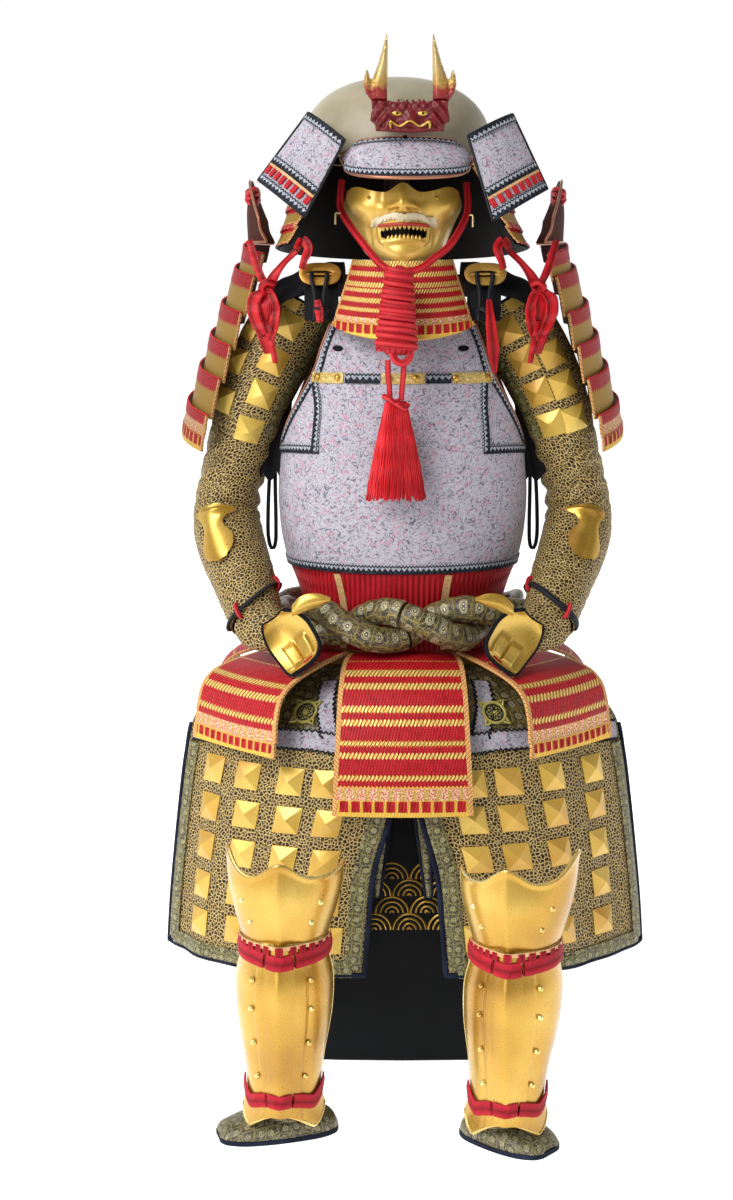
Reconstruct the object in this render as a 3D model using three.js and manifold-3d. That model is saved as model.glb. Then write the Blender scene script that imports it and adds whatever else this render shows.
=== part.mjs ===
// Samurai armour seated on its armour chest: every plate, cloth panel and cord is its own solid.
// Millimetres, +Z up. The armour faces -Y, and the chest and shoes stand on z = 0.
import * as THREE from "three";
import { mergeVertices } from "three/addons/utils/BufferGeometryUtils.js";
import Module from "manifold-3d";

const wasm = await Module();
wasm.setup();

// ---------- driving dimensions ----------
const seam = 0.3; // gap between faces that touch
const hardWall = 3.5; // lacquered plate under its cloth
const clothWall = 2.5; // brocade on its backing
const lacedWall = 4; // lame with its lacing
const plateWall = 2; // gilt sheet metal

const chest = { halfWidth: 226, front: -194, bow: 10, back: 220, height: 490, lid: 42, wall: 12, corner: 38 };
const stand = { post: 44, postY: 78, barTop: 1165, barHeight: 24, barHalfWidth: 132 };
const helmet = { halfWidth: 141, halfDepth: 148, rise: 103, centre: 1350, rim: 1336, shift: -9, fullness: 0.88 };
const mask = { faceY: -60, mouthHalfWidth: 31, mouthHeight: 24, mouthZ: 1224 };
const belt = { centre: 657, halfWidth: 184, depth: 176, turns: 5 };
const knot = { x: -10, topY: -168, bottomY: -207, top: 1160, bottom: 1046, flatness: 0.75 };
const tassel = { x: -10, y: -181, top: 985, bottom: 841, flatness: 0.42 };
// Each leg leans: x and y are its middle on the floor, and the ridge turns by its degrees at foot and knee.
const legs = {
  left: { x: -163, y: -462, leanX: 5, ridgeLow: -3, ridgeTop: -3, shoeX: -163, shoeY: -452, shoeTurn: -75, shoeLength: 0.96 },
  right: { x: 138, y: -490, leanX: 17, ridgeLow: -4, ridgeTop: -16, shoeX: 137, shoeY: -480, shoeTurn: 50, shoeLength: 0.82 }
};

// ---------- numbers ----------
const radians = (angle) => (angle * Math.PI) / 180;
const point = (x, y, z) => new THREE.Vector3(x, y, z);
const steps = (count) => Array.from({ length: count + 1 }, (_, index) => index / count);

// A short table: the first row names the columns.
function table(columns, ...rows) {
  return rows.map((row) => Object.fromEntries(columns.map((name, index) => [name, row[index]])));
}

// The row at a fraction from the first row to the last, on a smooth curve through all of them.
function rowAt(rows, fraction) {
  const place = Math.min(Math.max(fraction, 0), 1) * (rows.length - 1);
  const first = Math.min(Math.floor(place), rows.length - 2);
  const t = place - first;
  const pick = (index) => rows[Math.min(Math.max(index, 0), rows.length - 1)];
  const row = {};
  for (const name of Object.keys(rows[0])) {
    const [a, b, c, d] = [pick(first - 1), pick(first), pick(first + 1), pick(first + 2)].map((r) => r[name]);
    row[name] = b + 0.5 * t * (c - a + t * (2 * a - 5 * b + 4 * c - d + t * (3 * (b - c) + d - a)));
  }
  return row;
}

// ---------- solids ----------
function solidFrom(points, triangles) {
  const geometry = new THREE.BufferGeometry();
  geometry.setAttribute("position", new THREE.Float32BufferAttribute(points.flatMap((p) => p.toArray()), 3));
  let volume = 0;
  for (const [a, b, c] of triangles) {
    volume += points[a].dot(points[b].clone().cross(points[c]));
  }
  geometry.setIndex(triangles.flatMap(([a, b, c]) => (volume < 0 ? [a, c, b] : [a, b, c])));
  return geometry;
}

// Outward normals of a net of points. ring: the last point of each row meets the first.
function netNormals(net, ring) {
  const columns = net[0].length;
  return net.map((row, i) =>
    row.map((_, j) => {
      const up = net[Math.min(i + 1, net.length - 1)][j].clone().sub(net[Math.max(i - 1, 0)][j]);
      const next = ring ? row[(j + 1) % columns] : row[Math.min(j + 1, columns - 1)];
      const last = ring ? row[(j + columns - 1) % columns] : row[Math.max(j - 1, 0)];
      return next.clone().sub(last).cross(up).normalize();
    })
  );
}

function moved(net, distance, ring = false) {
  const normals = netNormals(net, ring);
  return net.map((row, i) => row.map((p, j) => p.clone().addScaledVector(normals[i][j], distance)));
}

// A wall whose outer face is the net and whose thickness goes inward.
function wallSolid(net, thickness, ring = false) {
  const inner = moved(net, -thickness, ring);
  const [rows, columns] = [net.length, net[0].length];
  const points = [...net.flat(), ...inner.flat()];
  const outerAt = (i, j) => i * columns + (j % columns);
  const innerAt = (i, j) => rows * columns + outerAt(i, j);
  const triangles = [];
  const quad = (a, b, c, d) => triangles.push([a, b, c], [a, c, d]);
  const spans = ring ? columns : columns - 1;
  for (let i = 0; i < rows - 1; i++) {
    for (let j = 0; j < spans; j++) {
      quad(outerAt(i, j), outerAt(i, j + 1), outerAt(i + 1, j + 1), outerAt(i + 1, j));
      quad(innerAt(i, j), innerAt(i + 1, j), innerAt(i + 1, j + 1), innerAt(i, j + 1));
    }
  }
  for (let j = 0; j < spans; j++) {
    quad(outerAt(0, j + 1), outerAt(0, j), innerAt(0, j), innerAt(0, j + 1));
    quad(outerAt(rows - 1, j), outerAt(rows - 1, j + 1), innerAt(rows - 1, j + 1), innerAt(rows - 1, j));
  }
  if (!ring) {
    for (let i = 0; i < rows - 1; i++) {
      quad(outerAt(i, 0), outerAt(i + 1, 0), innerAt(i + 1, 0), innerAt(i, 0));
      quad(outerAt(i + 1, columns - 1), outerAt(i, columns - 1), innerAt(i, columns - 1), innerAt(i + 1, columns - 1));
    }
  }
  return solidFrom(points, triangles);
}

// A filled body through rings of points, closed by a fan at each end.
function loftSolid(rings) {
  const count = rings[0].length;
  const middle = (ring) => ring.reduce((sum, p) => sum.add(p), point(0, 0, 0)).divideScalar(count);
  const points = [...rings.flat(), middle(rings[0]), middle(rings[rings.length - 1])];
  const at = (i, j) => i * count + (j % count);
  const triangles = [];
  for (let j = 0; j < count; j++) {
    for (let i = 0; i < rings.length - 1; i++) {
      triangles.push([at(i, j), at(i, j + 1), at(i + 1, j + 1)], [at(i, j), at(i + 1, j + 1), at(i + 1, j)]);
    }
    triangles.push([at(0, j + 1), at(0, j), points.length - 2]);
    triangles.push([at(rings.length - 1, j), at(rings.length - 1, j + 1), points.length - 1]);
  }
  return solidFrom(points, triangles);
}

// Rings round a path, one for each sample, with a half-width across and a half-depth along the other axis.
function ringsAlong(samples, count, side = point(0, 1, 0)) {
  return samples.map(({ centre, across, deep }, index) => {
    const before = samples[Math.max(index - 1, 0)].centre;
    const after = samples[Math.min(index + 1, samples.length - 1)].centre;
    const along = after.clone().sub(before).normalize();
    const wide = side.clone().cross(along).normalize();
    const tall = along.clone().cross(wide).normalize();
    return Array.from({ length: count }, (_, j) => {
      const angle = (j / count) * 2 * Math.PI;
      const ringPoint = centre.clone().addScaledVector(wide, across * Math.cos(angle));
      return ringPoint.addScaledVector(tall, deep * Math.sin(angle));
    });
  });
}

function cord(places, diameter, { sides = 8, pitch = 2.5, closed = false } = {}) {
  const curve = new THREE.CatmullRomCurve3(places.map((place) => point(...place)), closed, "catmullrom", 0.5);
  const section = new THREE.Shape();
  for (let j = 0; j < sides; j++) {
    const angle = ((j + 0.5) / sides) * 2 * Math.PI;
    const corner = [(diameter / 2) * Math.cos(angle), (diameter / 2) * Math.sin(angle)];
    if (j === 0) {
      section.moveTo(...corner);
    } else {
      section.lineTo(...corner);
    }
  }
  const count = Math.max(2, Math.round(curve.getLength() / (diameter * pitch)));
  return new THREE.ExtrudeGeometry(section, { steps: count, extrudePath: curve, curveSegments: 1 });
}

function manifoldOf(geometry) {
  const bare = geometry.index && !geometry.attributes.normal ? geometry : geometry.clone();
  bare.deleteAttribute("normal");
  bare.deleteAttribute("uv");
  const merged = mergeVertices(bare, 1e-4);
  const vertProperties = new Float32Array(merged.attributes.position.array);
  return new wasm.Manifold(new wasm.Mesh({ numProp: 3, vertProperties, triVerts: new Uint32Array(merged.index.array) }));
}

function geometryOf(solid) {
  const { vertProperties, triVerts } = solid.getMesh();
  const geometry = new THREE.BufferGeometry();
  geometry.setAttribute("position", new THREE.BufferAttribute(new Float32Array(vertProperties), 3));
  geometry.setIndex(Array.from(triVerts));
  return geometry;
}

function joined(...geometries) {
  return geometryOf(geometries.map(manifoldOf).reduce((sum, next) => sum.add(next)));
}

function cut(body, ...tools) {
  return geometryOf(tools.map(manifoldOf).reduce((sum, next) => sum.subtract(next), manifoldOf(body)));
}

// ---------- naming and colours ----------
const materials = {
  lacquer: ["#14171a", 0.25, 0.0],
  standWood: ["#3a2a1e", 0.6, 0.0],
  greyDamask: ["#b9b3bb", 0.8, 0.0],
  redLacing: ["#c4161c", 0.75, 0.0],
  goldPlate: ["#d9b54c", 0.3, 1.0],
  goldNetBrocade: ["#9c8440", 0.6, 0.3],
  darkBrocade: ["#4b4038", 0.65, 0.2],
  helmetLacquer: ["#c3baa2", 0.35, 0.0],
  brownLacquer: ["#5a3020", 0.4, 0.0],
  blackCloth: ["#17181c", 0.85, 0.0],
  redSilk: ["#d0202a", 0.6, 0.0],
  crestLacquer: ["#7a1318", 0.35, 0.2]
};

const armour = new THREE.Group();

function add(name, geometry, materialName) {
  const [colour, roughness, metalness] = materials[materialName];
  const mesh = new THREE.Mesh(geometry, new THREE.MeshStandardMaterial({ color: colour, roughness, metalness }));
  mesh.name = name;
  armour.add(mesh);
}

// Makes a left piece and its mirror image: make(side) is given -1 for the left and 1 for the right.
function addPair(name, make, materialName) {
  add(`${name}_left`, make(-1), materialName);
  add(`${name}_right`, make(1), materialName);
}

// ---------- armour chest ----------
// bow: how far the middle of the front stands out past its corners.
function roundedRectangle(halfWidth, front, back, corner, bow = 0) {
  const shape = new THREE.Shape();
  const quarter = Math.PI / 2;
  shape.absarc(halfWidth - corner, back - corner, corner, 0, quarter);
  shape.absarc(corner - halfWidth, back - corner, corner, quarter, 2 * quarter);
  shape.absarc(corner - halfWidth, front + corner, corner, 2 * quarter, 3 * quarter);
  if (bow > 0) {
    shape.quadraticCurveTo(0, front - 2 * bow, halfWidth - corner, front);
  }
  shape.absarc(halfWidth - corner, front + corner, corner, 3 * quarter, 4 * quarter);
  return shape;
}

function slab(shape, bottom, top) {
  const geometry = new THREE.ExtrudeGeometry(shape, { depth: top - bottom, bevelEnabled: false, curveSegments: 4 });
  return geometry.translate(0, 0, bottom);
}

const chestOutline = roundedRectangle(chest.halfWidth, chest.front, chest.back, chest.corner, chest.bow);
const chestHollow = roundedRectangle(
  chest.halfWidth - chest.wall,
  chest.front + chest.wall,
  chest.back - chest.wall,
  chest.corner - chest.wall,
  chest.bow
);
const chestRim = chest.height - chest.lid;
add("chest_body", cut(slab(chestOutline, 0, chestRim), slab(chestHollow, chest.wall, chestRim + 1)), "lacquer");
add("chest_lid", slab(chestOutline, chestRim + seam, chest.height), "lacquer");

// ---------- inner stand ----------
const postBottom = chest.height + seam;
const post = slab(roundedRectangle(stand.post / 2, -stand.post / 2, stand.post / 2, 4), postBottom, stand.barTop);
const barDepth = 30;
const bar = new THREE.BoxGeometry(2 * stand.barHalfWidth, barDepth, stand.barHeight);
const reach = new THREE.BoxGeometry(stand.post, stand.postY + barDepth / 2, stand.barHeight);
const barCentre = stand.barTop - stand.barHeight / 2;

const headTop = helmet.centre + helmet.rise - hardWall - 1.5;
const headProfile = table(
  ["radius", "drop"],
  [0, 0],
  [32, 3],
  [58, 12],
  [70, 26],
  [62, 40],
  [26, 48],
  [20, 60],
  [20, headTop - stand.barTop + 10],
  [0, headTop - stand.barTop + 10]
);
const headLathe = headProfile.map(({ radius, drop }) => new THREE.Vector2(radius, headTop - drop)).reverse();
add(
  "stand",
  joined(
    post.translate(0, stand.postY, 0),
    bar.translate(0, 0, barCentre),
    reach.translate(0, stand.postY / 2 - barDepth / 4, barCentre),
    new THREE.LatheGeometry(headLathe, 14).rotateX(Math.PI / 2).translate(helmet.shift, 0, 0)
  ),
  "standWood"
);

// ---------- cuirass ----------
const cuirassFront = table(
  ["z", "halfWidth", "depth", "edgeAngle"],
  [731, 176, 150, 90],
  [777, 186, 153, 90],
  [835, 190, 154, 90],
  [889, 187, 152, 90],
  [935, 184, 149, 75],
  [983, 177, 144, 61],
  [1022, 169, 138, 52],
  [1060, 159, 130, 49],
  [1093, 149, 122, 46]
);
const cuirassBack = table(
  ["z", "halfWidth", "depth", "edgeAngle"],
  [731, 176, 128, 90],
  [777, 186, 132, 90],
  [835, 190, 134, 90],
  [889, 187, 132, 90],
  [935, 184, 130, 76],
  [983, 177, 127, 64],
  [1040, 166, 121, 56],
  [1112, 148, 112, 50]
);
const neckScoop = 14;
const hingeGap = 1.2; // between the two halves, at the side hinges

// The two halves of the body plate: facing is -1 for the breast and 1 for the back.
function cuirassNet(rows, facing, across, up) {
  return steps(up).map((v) => {
    const row = rowAt(rows, v);
    const scoop = neckScoop * Math.max(0, v - 0.8) * 5;
    return steps(across).map((u) => {
      const angle = radians(Math.min(row.edgeAngle, 90)) * (2 * u - 1);
      const x = -facing * row.halfWidth * Math.sin(angle);
      const y = facing * (row.depth * Math.cos(angle) + hingeGap / 2);
      return point(x, y, row.z - scoop * Math.cos(radians(180) * (u - 0.5)));
    });
  });
}

add("cuirass_front", wallSolid(cuirassNet(cuirassFront, -1, 16, 8), hardWall), "greyDamask");
add("cuirass_back", wallSolid(cuirassNet(cuirassBack, 1, 12, 6), hardWall), "blackCloth");

// ---------- shoulder straps and their buckles ----------
const strapPath = table(
  ["y", "z", "x"],
  [-104, 1098, 118],
  [-98, 1130, 119],
  [-72, 1160, 120],
  [-30, 1173, 121],
  [20, 1173, 121],
  [66, 1160, 119],
  [98, 1132, 116]
);
const strapHalfWidth = 25;

function strapNet(side, lift, from, to, halfWidth, rows) {
  const net = steps(rows).map((v) => {
    const row = rowAt(strapPath, from + (to - from) * v);
    return [-1, 1].map((edge) => point(side * row.x - edge * halfWidth, row.y, row.z));
  });
  return moved(net, lift);
}

addPair("shoulder_strap", (side) => wallSolid(strapNet(side, 0, 0, 1, strapHalfWidth, 8), 6), "blackCloth");

const buckle = { halfWidth: 30, from: 0.33, to: 0.53, thickness: 3 };
addPair(
  "strap_buckle",
  (side) =>
    wallSolid(
      strapNet(side, buckle.thickness + 2.5, buckle.from, buckle.to, buckle.halfWidth, 3),
      buckle.thickness
    ),
  "goldPlate"
);

// ---------- waist lacing and belt ----------
const waistRows = table(
  ["z", "halfWidth", "depth"],
  [611, 156, 136],
  [640, 151, 130],
  [668, 152, 131],
  [700, 161, 139],
  [728, 172, 147]
);

function waistNet(around, up) {
  return steps(up).map((v) => {
    const row = rowAt(waistRows, v);
    return Array.from({ length: around }, (_, j) => {
      const angle = (j / around) * 2 * Math.PI;
      return point(row.halfWidth * Math.cos(angle), row.depth * Math.sin(angle), row.z);
    });
  });
}

add("waist_lacing", wallSolid(waistNet(24, 3), clothWall, true), "redLacing");

// The twisted sash: two fat strands in front of the body, thinner round its sides and back.
const beltRows = table(
  ["angle", "strand", "twist"],
  [0, 20, 21],
  [30, 20, 21],
  [48, 17, 18],
  [70, 11, 12],
  [110, 10, 11],
  [180, 10, 11]
);

function beltRowAt(angle) {
  const next = Math.max(1, beltRows.findIndex((row) => row.angle >= angle));
  const [a, b] = [beltRows[next - 1], beltRows[next]];
  const t = (angle - a.angle) / (b.angle - a.angle);
  return { strand: a.strand + (b.strand - a.strand) * t, twist: a.twist + (b.twist - a.twist) * t };
}

function beltStrand(phase, around, sides) {
  const samples = Array.from({ length: around }, (_, index) => {
    const turn = (index / around) * 2 * Math.PI;
    const fromFront = Math.abs(180 - (turn * 180) / Math.PI);
    const { strand, twist } = beltRowAt(180 - fromFront);
    const outward = point(-Math.sin(turn), -Math.cos(turn), 0);
    const spin = belt.turns * turn + phase;
    const centre = point(belt.halfWidth * outward.x, belt.depth * outward.y, belt.centre);
    centre.addScaledVector(outward, twist * Math.cos(spin));
    centre.z += twist * Math.sin(spin);
    return { centre, strand };
  });
  const net = samples.map(({ centre, strand }, index) => {
    const after = samples[(index + 1) % around].centre;
    const before = samples[(index + around - 1) % around].centre;
    const along = after.clone().sub(before).normalize();
    const wide = point(0, 0, 1).cross(along).normalize();
    const tall = along.clone().cross(wide);
    return Array.from({ length: sides }, (_, j) => {
      const angle = (j / sides) * 2 * Math.PI;
      const place = centre.clone().addScaledVector(wide, strand * Math.cos(angle));
      return place.addScaledVector(tall, strand * Math.sin(angle));
    });
  });
  const triangles = [];
  for (let i = 0; i < around; i++) {
    for (let j = 0; j < sides; j++) {
      const [a, b] = [i * sides + j, i * sides + ((j + 1) % sides)];
      const [c, d] = [((i + 1) % around) * sides + ((j + 1) % sides), ((i + 1) % around) * sides + j];
      triangles.push([a, b, c], [a, c, d]);
    }
  }
  return solidFrom(net.flat(), triangles);
}

const beltPhase = radians(60);
add("belt_strand_one", beltStrand(beltPhase, 50, 6), "darkBrocade");
add("belt_strand_two", beltStrand(beltPhase + Math.PI, 50, 6), "darkBrocade");

// ---------- laced skirt panels (tassets) ----------
const frontTassetProfile = table(
  ["out", "z", "halfWidth"],
  [146, 612, 78],
  [184, 608, 86],
  [224, 595, 90],
  [260, 563, 93],
  [284, 505, 96],
  [291, 450, 99],
  [292, 400, 101]
);
const sideTassetProfile = table(
  ["out", "z", "halfWidth"],
  [-12, 611, 60],
  [48, 602, 74],
  [108, 587, 88],
  [138, 565, 93],
  [149, 528, 95],
  [154, 480, 97]
);

// facing: degrees from the front, positive to the left. waistOut: how far out the panel starts.
const tassets = table(
  ["facing", "waistOut", "reach", "waistShift", "hemShift", "narrow", "bow"],
  [0, 0, 1, 0, 0, 1, 10],
  [48, 166, 1, 12, 19, 1, 3],
  [-48, 166, 1, 12, 19, 1, 3],
  [97, 180, 0.74, 18, 6, 0.8, 8],
  [-97, 180, 0.74, 18, 6, 0.8, 8],
  [168, 146, 0.86, -52, -30, 0.86, 8],
  [-168, 146, 0.86, -52, -30, 0.86, 8]
);
const tassetNames = ["front", "front_left", "front_right", "side_left", "side_right", "back_left", "back_right"];

function tassetNet({ facing, waistOut, reach, waistShift, hemShift, narrow, bow }, across, down) {
  const turn = radians(facing);
  const outward = point(-Math.sin(turn), -Math.cos(turn), 0);
  const lateral = point(Math.cos(turn), -Math.sin(turn), 0);
  const profile = facing === 0 ? frontTassetProfile : sideTassetProfile;
  return steps(down).map((v) => {
    const row = rowAt(profile, 1 - v);
    const out = waistOut + row.out * reach;
    const slide = -Math.sign(facing) * (hemShift + (waistShift - hemShift) * v);
    return steps(across).map((u) => {
      const s = 2 * u - 1;
      const place = point(0, 0, row.z - bow * 0.4 * s * s * v);
      place.addScaledVector(outward, out - bow * s * s);
      return place.addScaledVector(lateral, s * row.halfWidth * narrow + slide);
    });
  });
}

tassets.forEach((tasset, index) => {
  const net = tassetNet(tasset, 5, 6);
  add(`tasset_${tassetNames[index]}`, wallSolid(net, lacedWall), "redLacing");
});

// ---------- thigh guards (haidate) ----------
const thighRows = table(
  ["z", "inner", "front", "corner", "outerX", "outerY"],
  [158, 56, 272, 262, 358, 108],
  [230, 50, 272, 252, 353, 107],
  [310, 42, 271, 238, 345, 105],
  [390, 20, 269, 222, 336, 102],
  [450, 12, 266, 206, 328, 98],
  [505, 12, 256, 188, 316, 92],
  [545, 12, 230, 164, 282, 80],
  [574, 12, 190, 134, 232, 66],
  [592, 12, 150, 106, 190, 54]
);
const thighShift = { left: 0, right: 7 }; // the right one hangs a little further out

function thighNet(side, across, up, lift = 0) {
  const net = steps(up).map((v) => {
    const row = rowAt(thighRows, v);
    return steps(across).map((w) => {
      const t = side < 0 ? 1 - w : w;
      const [a, b, c] = [(1 - t) * (1 - t), 2 * t * (1 - t), t * t];
      const x = a * row.inner + b * row.corner + c * row.outerX;
      const shift = side < 0 ? thighShift.left : thighShift.right;
      return point(side * x + shift, -(a + b) * row.front - c * row.outerY, row.z);
    });
  });
  return lift ? moved(net, lift) : net;
}

add("thigh_guard_left", wallSolid(thighNet(-1, 10, 9), clothWall), "goldNetBrocade");
add("thigh_guard_right", wallSolid(thighNet(1, 10, 9), clothWall), "goldNetBrocade");

// ---------- sleeves ----------
const sleevePath = table(
  ["x", "y", "z", "across", "deep"],
  [150, 4, 1124, 56, 58],
  [184, 4, 1066, 60, 62],
  [208, 2, 1022, 59, 61],
  [230, 0, 970, 55, 58],
  [247, 2, 915, 50, 54],
  [261, 6, 862, 48, 52],
  [270, 6, 815, 50, 52],
  [268, -8, 778, 53, 54],
  [256, -38, 744, 52, 52],
  [240, -74, 712, 48, 48],
  [226, -108, 680, 44, 44],
  [216, -132, 656, 41, 40]
);

function sleeveSamples(side, count) {
  return steps(count).map((v) => {
    const row = rowAt(sleevePath, v);
    return { centre: point(side * row.x, row.y, row.z), across: row.across, deep: row.deep };
  });
}

addPair("sleeve", (side) => wallSolid(ringsAlong(sleeveSamples(side, 13), 12), clothWall, true), "goldNetBrocade");

// ---------- gilt elbow plates ----------
// A gourd outline laid on the sleeve: along is the fraction down the sleeve, width the half-angle round it.
const elbowRows = table(
  ["along", "halfAngle"],
  [0.555, 8],
  [0.575, 27],
  [0.61, 33],
  [0.655, 20],
  [0.69, 17],
  [0.735, 28],
  [0.775, 25],
  [0.8, 9]
);
const elbow = { left: 79, right: 85, lift: plateWall + 3 }; // degrees from the outer side to the front

function elbowNet(side, across, down) {
  const facing = side < 0 ? elbow.left : elbow.right;
  return steps(down).map((v) => {
    const { along, halfAngle } = rowAt(elbowRows, v);
    const [before, here, after] = [-0.01, 0, 0.01].map((nudge) => {
      const row = rowAt(sleevePath, along + nudge);
      return { centre: point(side * row.x, row.y, row.z), across: row.across, deep: row.deep };
    });
    const direction = after.centre.clone().sub(before.centre).normalize();
    const outer = point(0, 1, 0).cross(direction).normalize().multiplyScalar(-side);
    const front = direction.clone().cross(outer).multiplyScalar(side);
    return steps(across).map((u) => {
      const angle = radians(facing - side * halfAngle * (2 * u - 1));
      const place = here.centre.clone().addScaledVector(outer, (here.across + elbow.lift) * Math.cos(angle));
      return place.addScaledVector(front, (here.deep + elbow.lift) * Math.sin(angle));
    });
  });
}

addPair("elbow_plate", (side) => wallSolid(elbowNet(side, 4, 8), plateWall), "goldPlate");

// ---------- hand guards ----------
// Half-widths of the plate from wrist to fingertips, bowed over the back of the hand.
const handRows = table(
  ["along", "inner", "outer", "lift"],
  [-42, 20, 18, -4],
  [-30, 32, 30, 3],
  [-10, 38, 37, 7],
  [12, 37, 37, 7],
  [30, 35, 35, 3],
  [40, 31, 32, -2],
  [48, 24, 26, -8]
);
const handPlace = { x: 161, y: -203, z: 641, thickness: 3, bow: 9 };
const handAlong = point(-0.58, -0.42, -0.7).normalize();
const handAcross = point(-0.74, -0.24, 0.63).normalize();

function handNet(side, across, down) {
  const facing = handAcross.clone().cross(handAlong).normalize();
  return steps(down).map((v) => {
    const row = rowAt(handRows, 1 - v);
    return steps(across).map((w) => {
      const u = side < 0 ? 1 - w : w;
      const s = 1 - 2 * u;
      const place = point(handPlace.x, handPlace.y, handPlace.z).addScaledVector(handAlong, row.along);
      place.addScaledVector(handAcross, s > 0 ? s * row.inner : s * row.outer);
      place.addScaledVector(facing, -(row.lift - handPlace.bow * s * s));
      place.x *= side;
      return place;
    });
  });
}

addPair("hand_guard", (side) => wallSolid(handNet(side, 5, 7), handPlace.thickness), "goldPlate");

// The thumb plate springs from the inner corner of the hand guard and lies over the belt's top.
const thumbRows = table(
  ["x", "z", "halfHeight", "y"],
  [160, 684, 8, -212],
  [150, 692, 12, -215],
  [136, 698, 12, -217],
  [120, 701, 9, -218],
  [104, 702, 3, -218]
);

function thumbNet(side, down) {
  return steps(2).map((w) =>
    steps(down).map((t) => {
      const v = side < 0 ? t : 1 - t;
      const row = rowAt(thumbRows, v);
      const s = 2 * w - 1;
      return point(side * row.x, row.y + 5 * s * s, row.z + s * row.halfHeight);
    })
  );
}

addPair("thumb_guard", (side) => wallSolid(thumbNet(side, 5), plateWall), "goldPlate");

// ---------- shoulder guards (sode) ----------
const shoulderRows = table(
  ["z", "x", "bow", "halfDepth"],
  [926, 337, 38, 96],
  [980, 319, 37, 95],
  [1035, 299, 37, 94],
  [1090, 279, 36, 92],
  [1145, 258, 35, 88],
  [1205, 233, 34, 82]
);
const shoulderY = 20;
const shoulderOut = { left: 0, right: 9 }; // how much further out the top of each one stands

function shoulderPlace(side, row, s, z, rise) {
  const out = side < 0 ? shoulderOut.left : shoulderOut.right;
  return point(side * (row.x + out * rise - row.bow * s * s), shoulderY - side * s * row.halfDepth, z);
}

function shoulderNet(side, across, up) {
  return steps(up).map((v) => {
    const row = rowAt(shoulderRows, v);
    return steps(across).map((u) => {
      const s = 1 - 2 * u;
      const drop = 9 * (1 - v) * s * side; // the front corner of the lowest lame hangs lower
      return shoulderPlace(side, row, s, row.z - drop, v);
    });
  });
}

addPair("shoulder_guard", (side) => wallSolid(shoulderNet(side, 6, 6), lacedWall), "redLacing");

const boardRows = table(
  ["rise", "x", "bow"],
  [0, 234, 33],
  [0.5, 235, 26],
  [1, 230, 18]
);
const board = { bottom: 1212, middleHeight: 92, edgeHeight: 34, halfDepth: 80, thickness: 4 };

function boardNet(side, across, up) {
  return steps(up).map((v) => {
    const row = rowAt(boardRows, v);
    return steps(across).map((u) => {
      const s = 1 - 2 * u;
      const height = board.edgeHeight + (board.middleHeight - board.edgeHeight) * Math.cos((s * Math.PI) / 2);
      return shoulderPlace(side, { ...row, halfDepth: board.halfDepth }, s, board.bottom + height * v, 1);
    });
  });
}

addPair("shoulder_board", (side) => wallSolid(boardNet(side, 8, 2), board.thickness), "brownLacquer");

// ---------- red ribbons ----------
const shoulderRibbon = table(
  ["x", "y", "z", "halfWidth"],
  [150, -88, 1204, 6],
  [180, -98, 1178, 7],
  [204, -104, 1152, 12],
  [207, -106, 1115, 15],
  [203, -106, 1075, 14],
  [200, -104, 1040, 11]
);
const strapRibbons = {
  left: table(["x", "y", "z", "halfWidth"], [124, -126, 1128, 4], [121, -134, 1110, 7], [120, -137, 1096, 5]),
  right: table(
    ["x", "y", "z", "halfWidth"],
    [125, -126, 1128, 4],
    [127, -136, 1098, 8],
    [131, -134, 1060, 10],
    [134, -130, 1022, 3]
  )
};

function ribbonNet(rows, side, down) {
  return steps(down).map((v) => {
    const row = rowAt(rows, 1 - v);
    return [-1, 1].map((edge) => point(side * row.x + edge * row.halfWidth, row.y, row.z));
  });
}

addPair("shoulder_ribbon", (side) => wallSolid(ribbonNet(shoulderRibbon, side, 10), clothWall), "redSilk");
add("strap_ribbon_left", wallSolid(ribbonNet(strapRibbons.left, -1, 4), clothWall), "redSilk");
add("strap_ribbon_right", wallSolid(ribbonNet(strapRibbons.right, 1, 6), clothWall), "redSilk");

// ---------- throat guard ----------
const throatRows = table(
  ["halfWidth", "middleY", "edgeY", "middleZ", "edgeZ"],
  [103, -176, -128, 1071, 1091],
  [92, -160, -112, 1108, 1124],
  [81, -145, -98, 1146, 1158],
  [73, -134, -88, 1183, 1186]
);

// A curved band: its middle stands furthest out and its ends fall back.
function arcNet(rows, across, up, spread = 62) {
  const widest = radians(spread);
  return steps(up).map((v) => {
    const row = rowAt(rows, v);
    return steps(across).map((u) => {
      const angle = widest * (2 * u - 1);
      const fall = (Math.cos(angle) - Math.cos(widest)) / (1 - Math.cos(widest));
      const x = (row.halfWidth * Math.sin(angle)) / Math.sin(widest);
      return point(x, row.edgeY + (row.middleY - row.edgeY) * fall, row.edgeZ + (row.middleZ - row.edgeZ) * fall);
    });
  });
}

add("throat_guard", wallSolid(arcNet(throatRows, 10, 4), lacedWall), "redLacing");

// ---------- half mask ----------
const maskRows = table(
  ["z", "halfWidth", "depth", "nose"],
  [1178, 34, 66, 0],
  [1192, 52, 78, 0],
  [1208, 63, 82, 0],
  [1226, 71, 82, 2],
  [1244, 78, 82, 12],
  [1258, 84, 82, 22],
  [1270, 87, 81, 16],
  [1280, 86, 80, 9]
);

function maskTop(angle) {
  const degrees = Math.abs((angle * 180) / Math.PI);
  const nose = 12 * Math.exp(-((degrees / 11) ** 2));
  const cheek = 9 * Math.exp(-(((degrees - 52) / 20) ** 2));
  return nose + cheek - 12 * Math.max(0, (degrees - 70) / 20);
}

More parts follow.
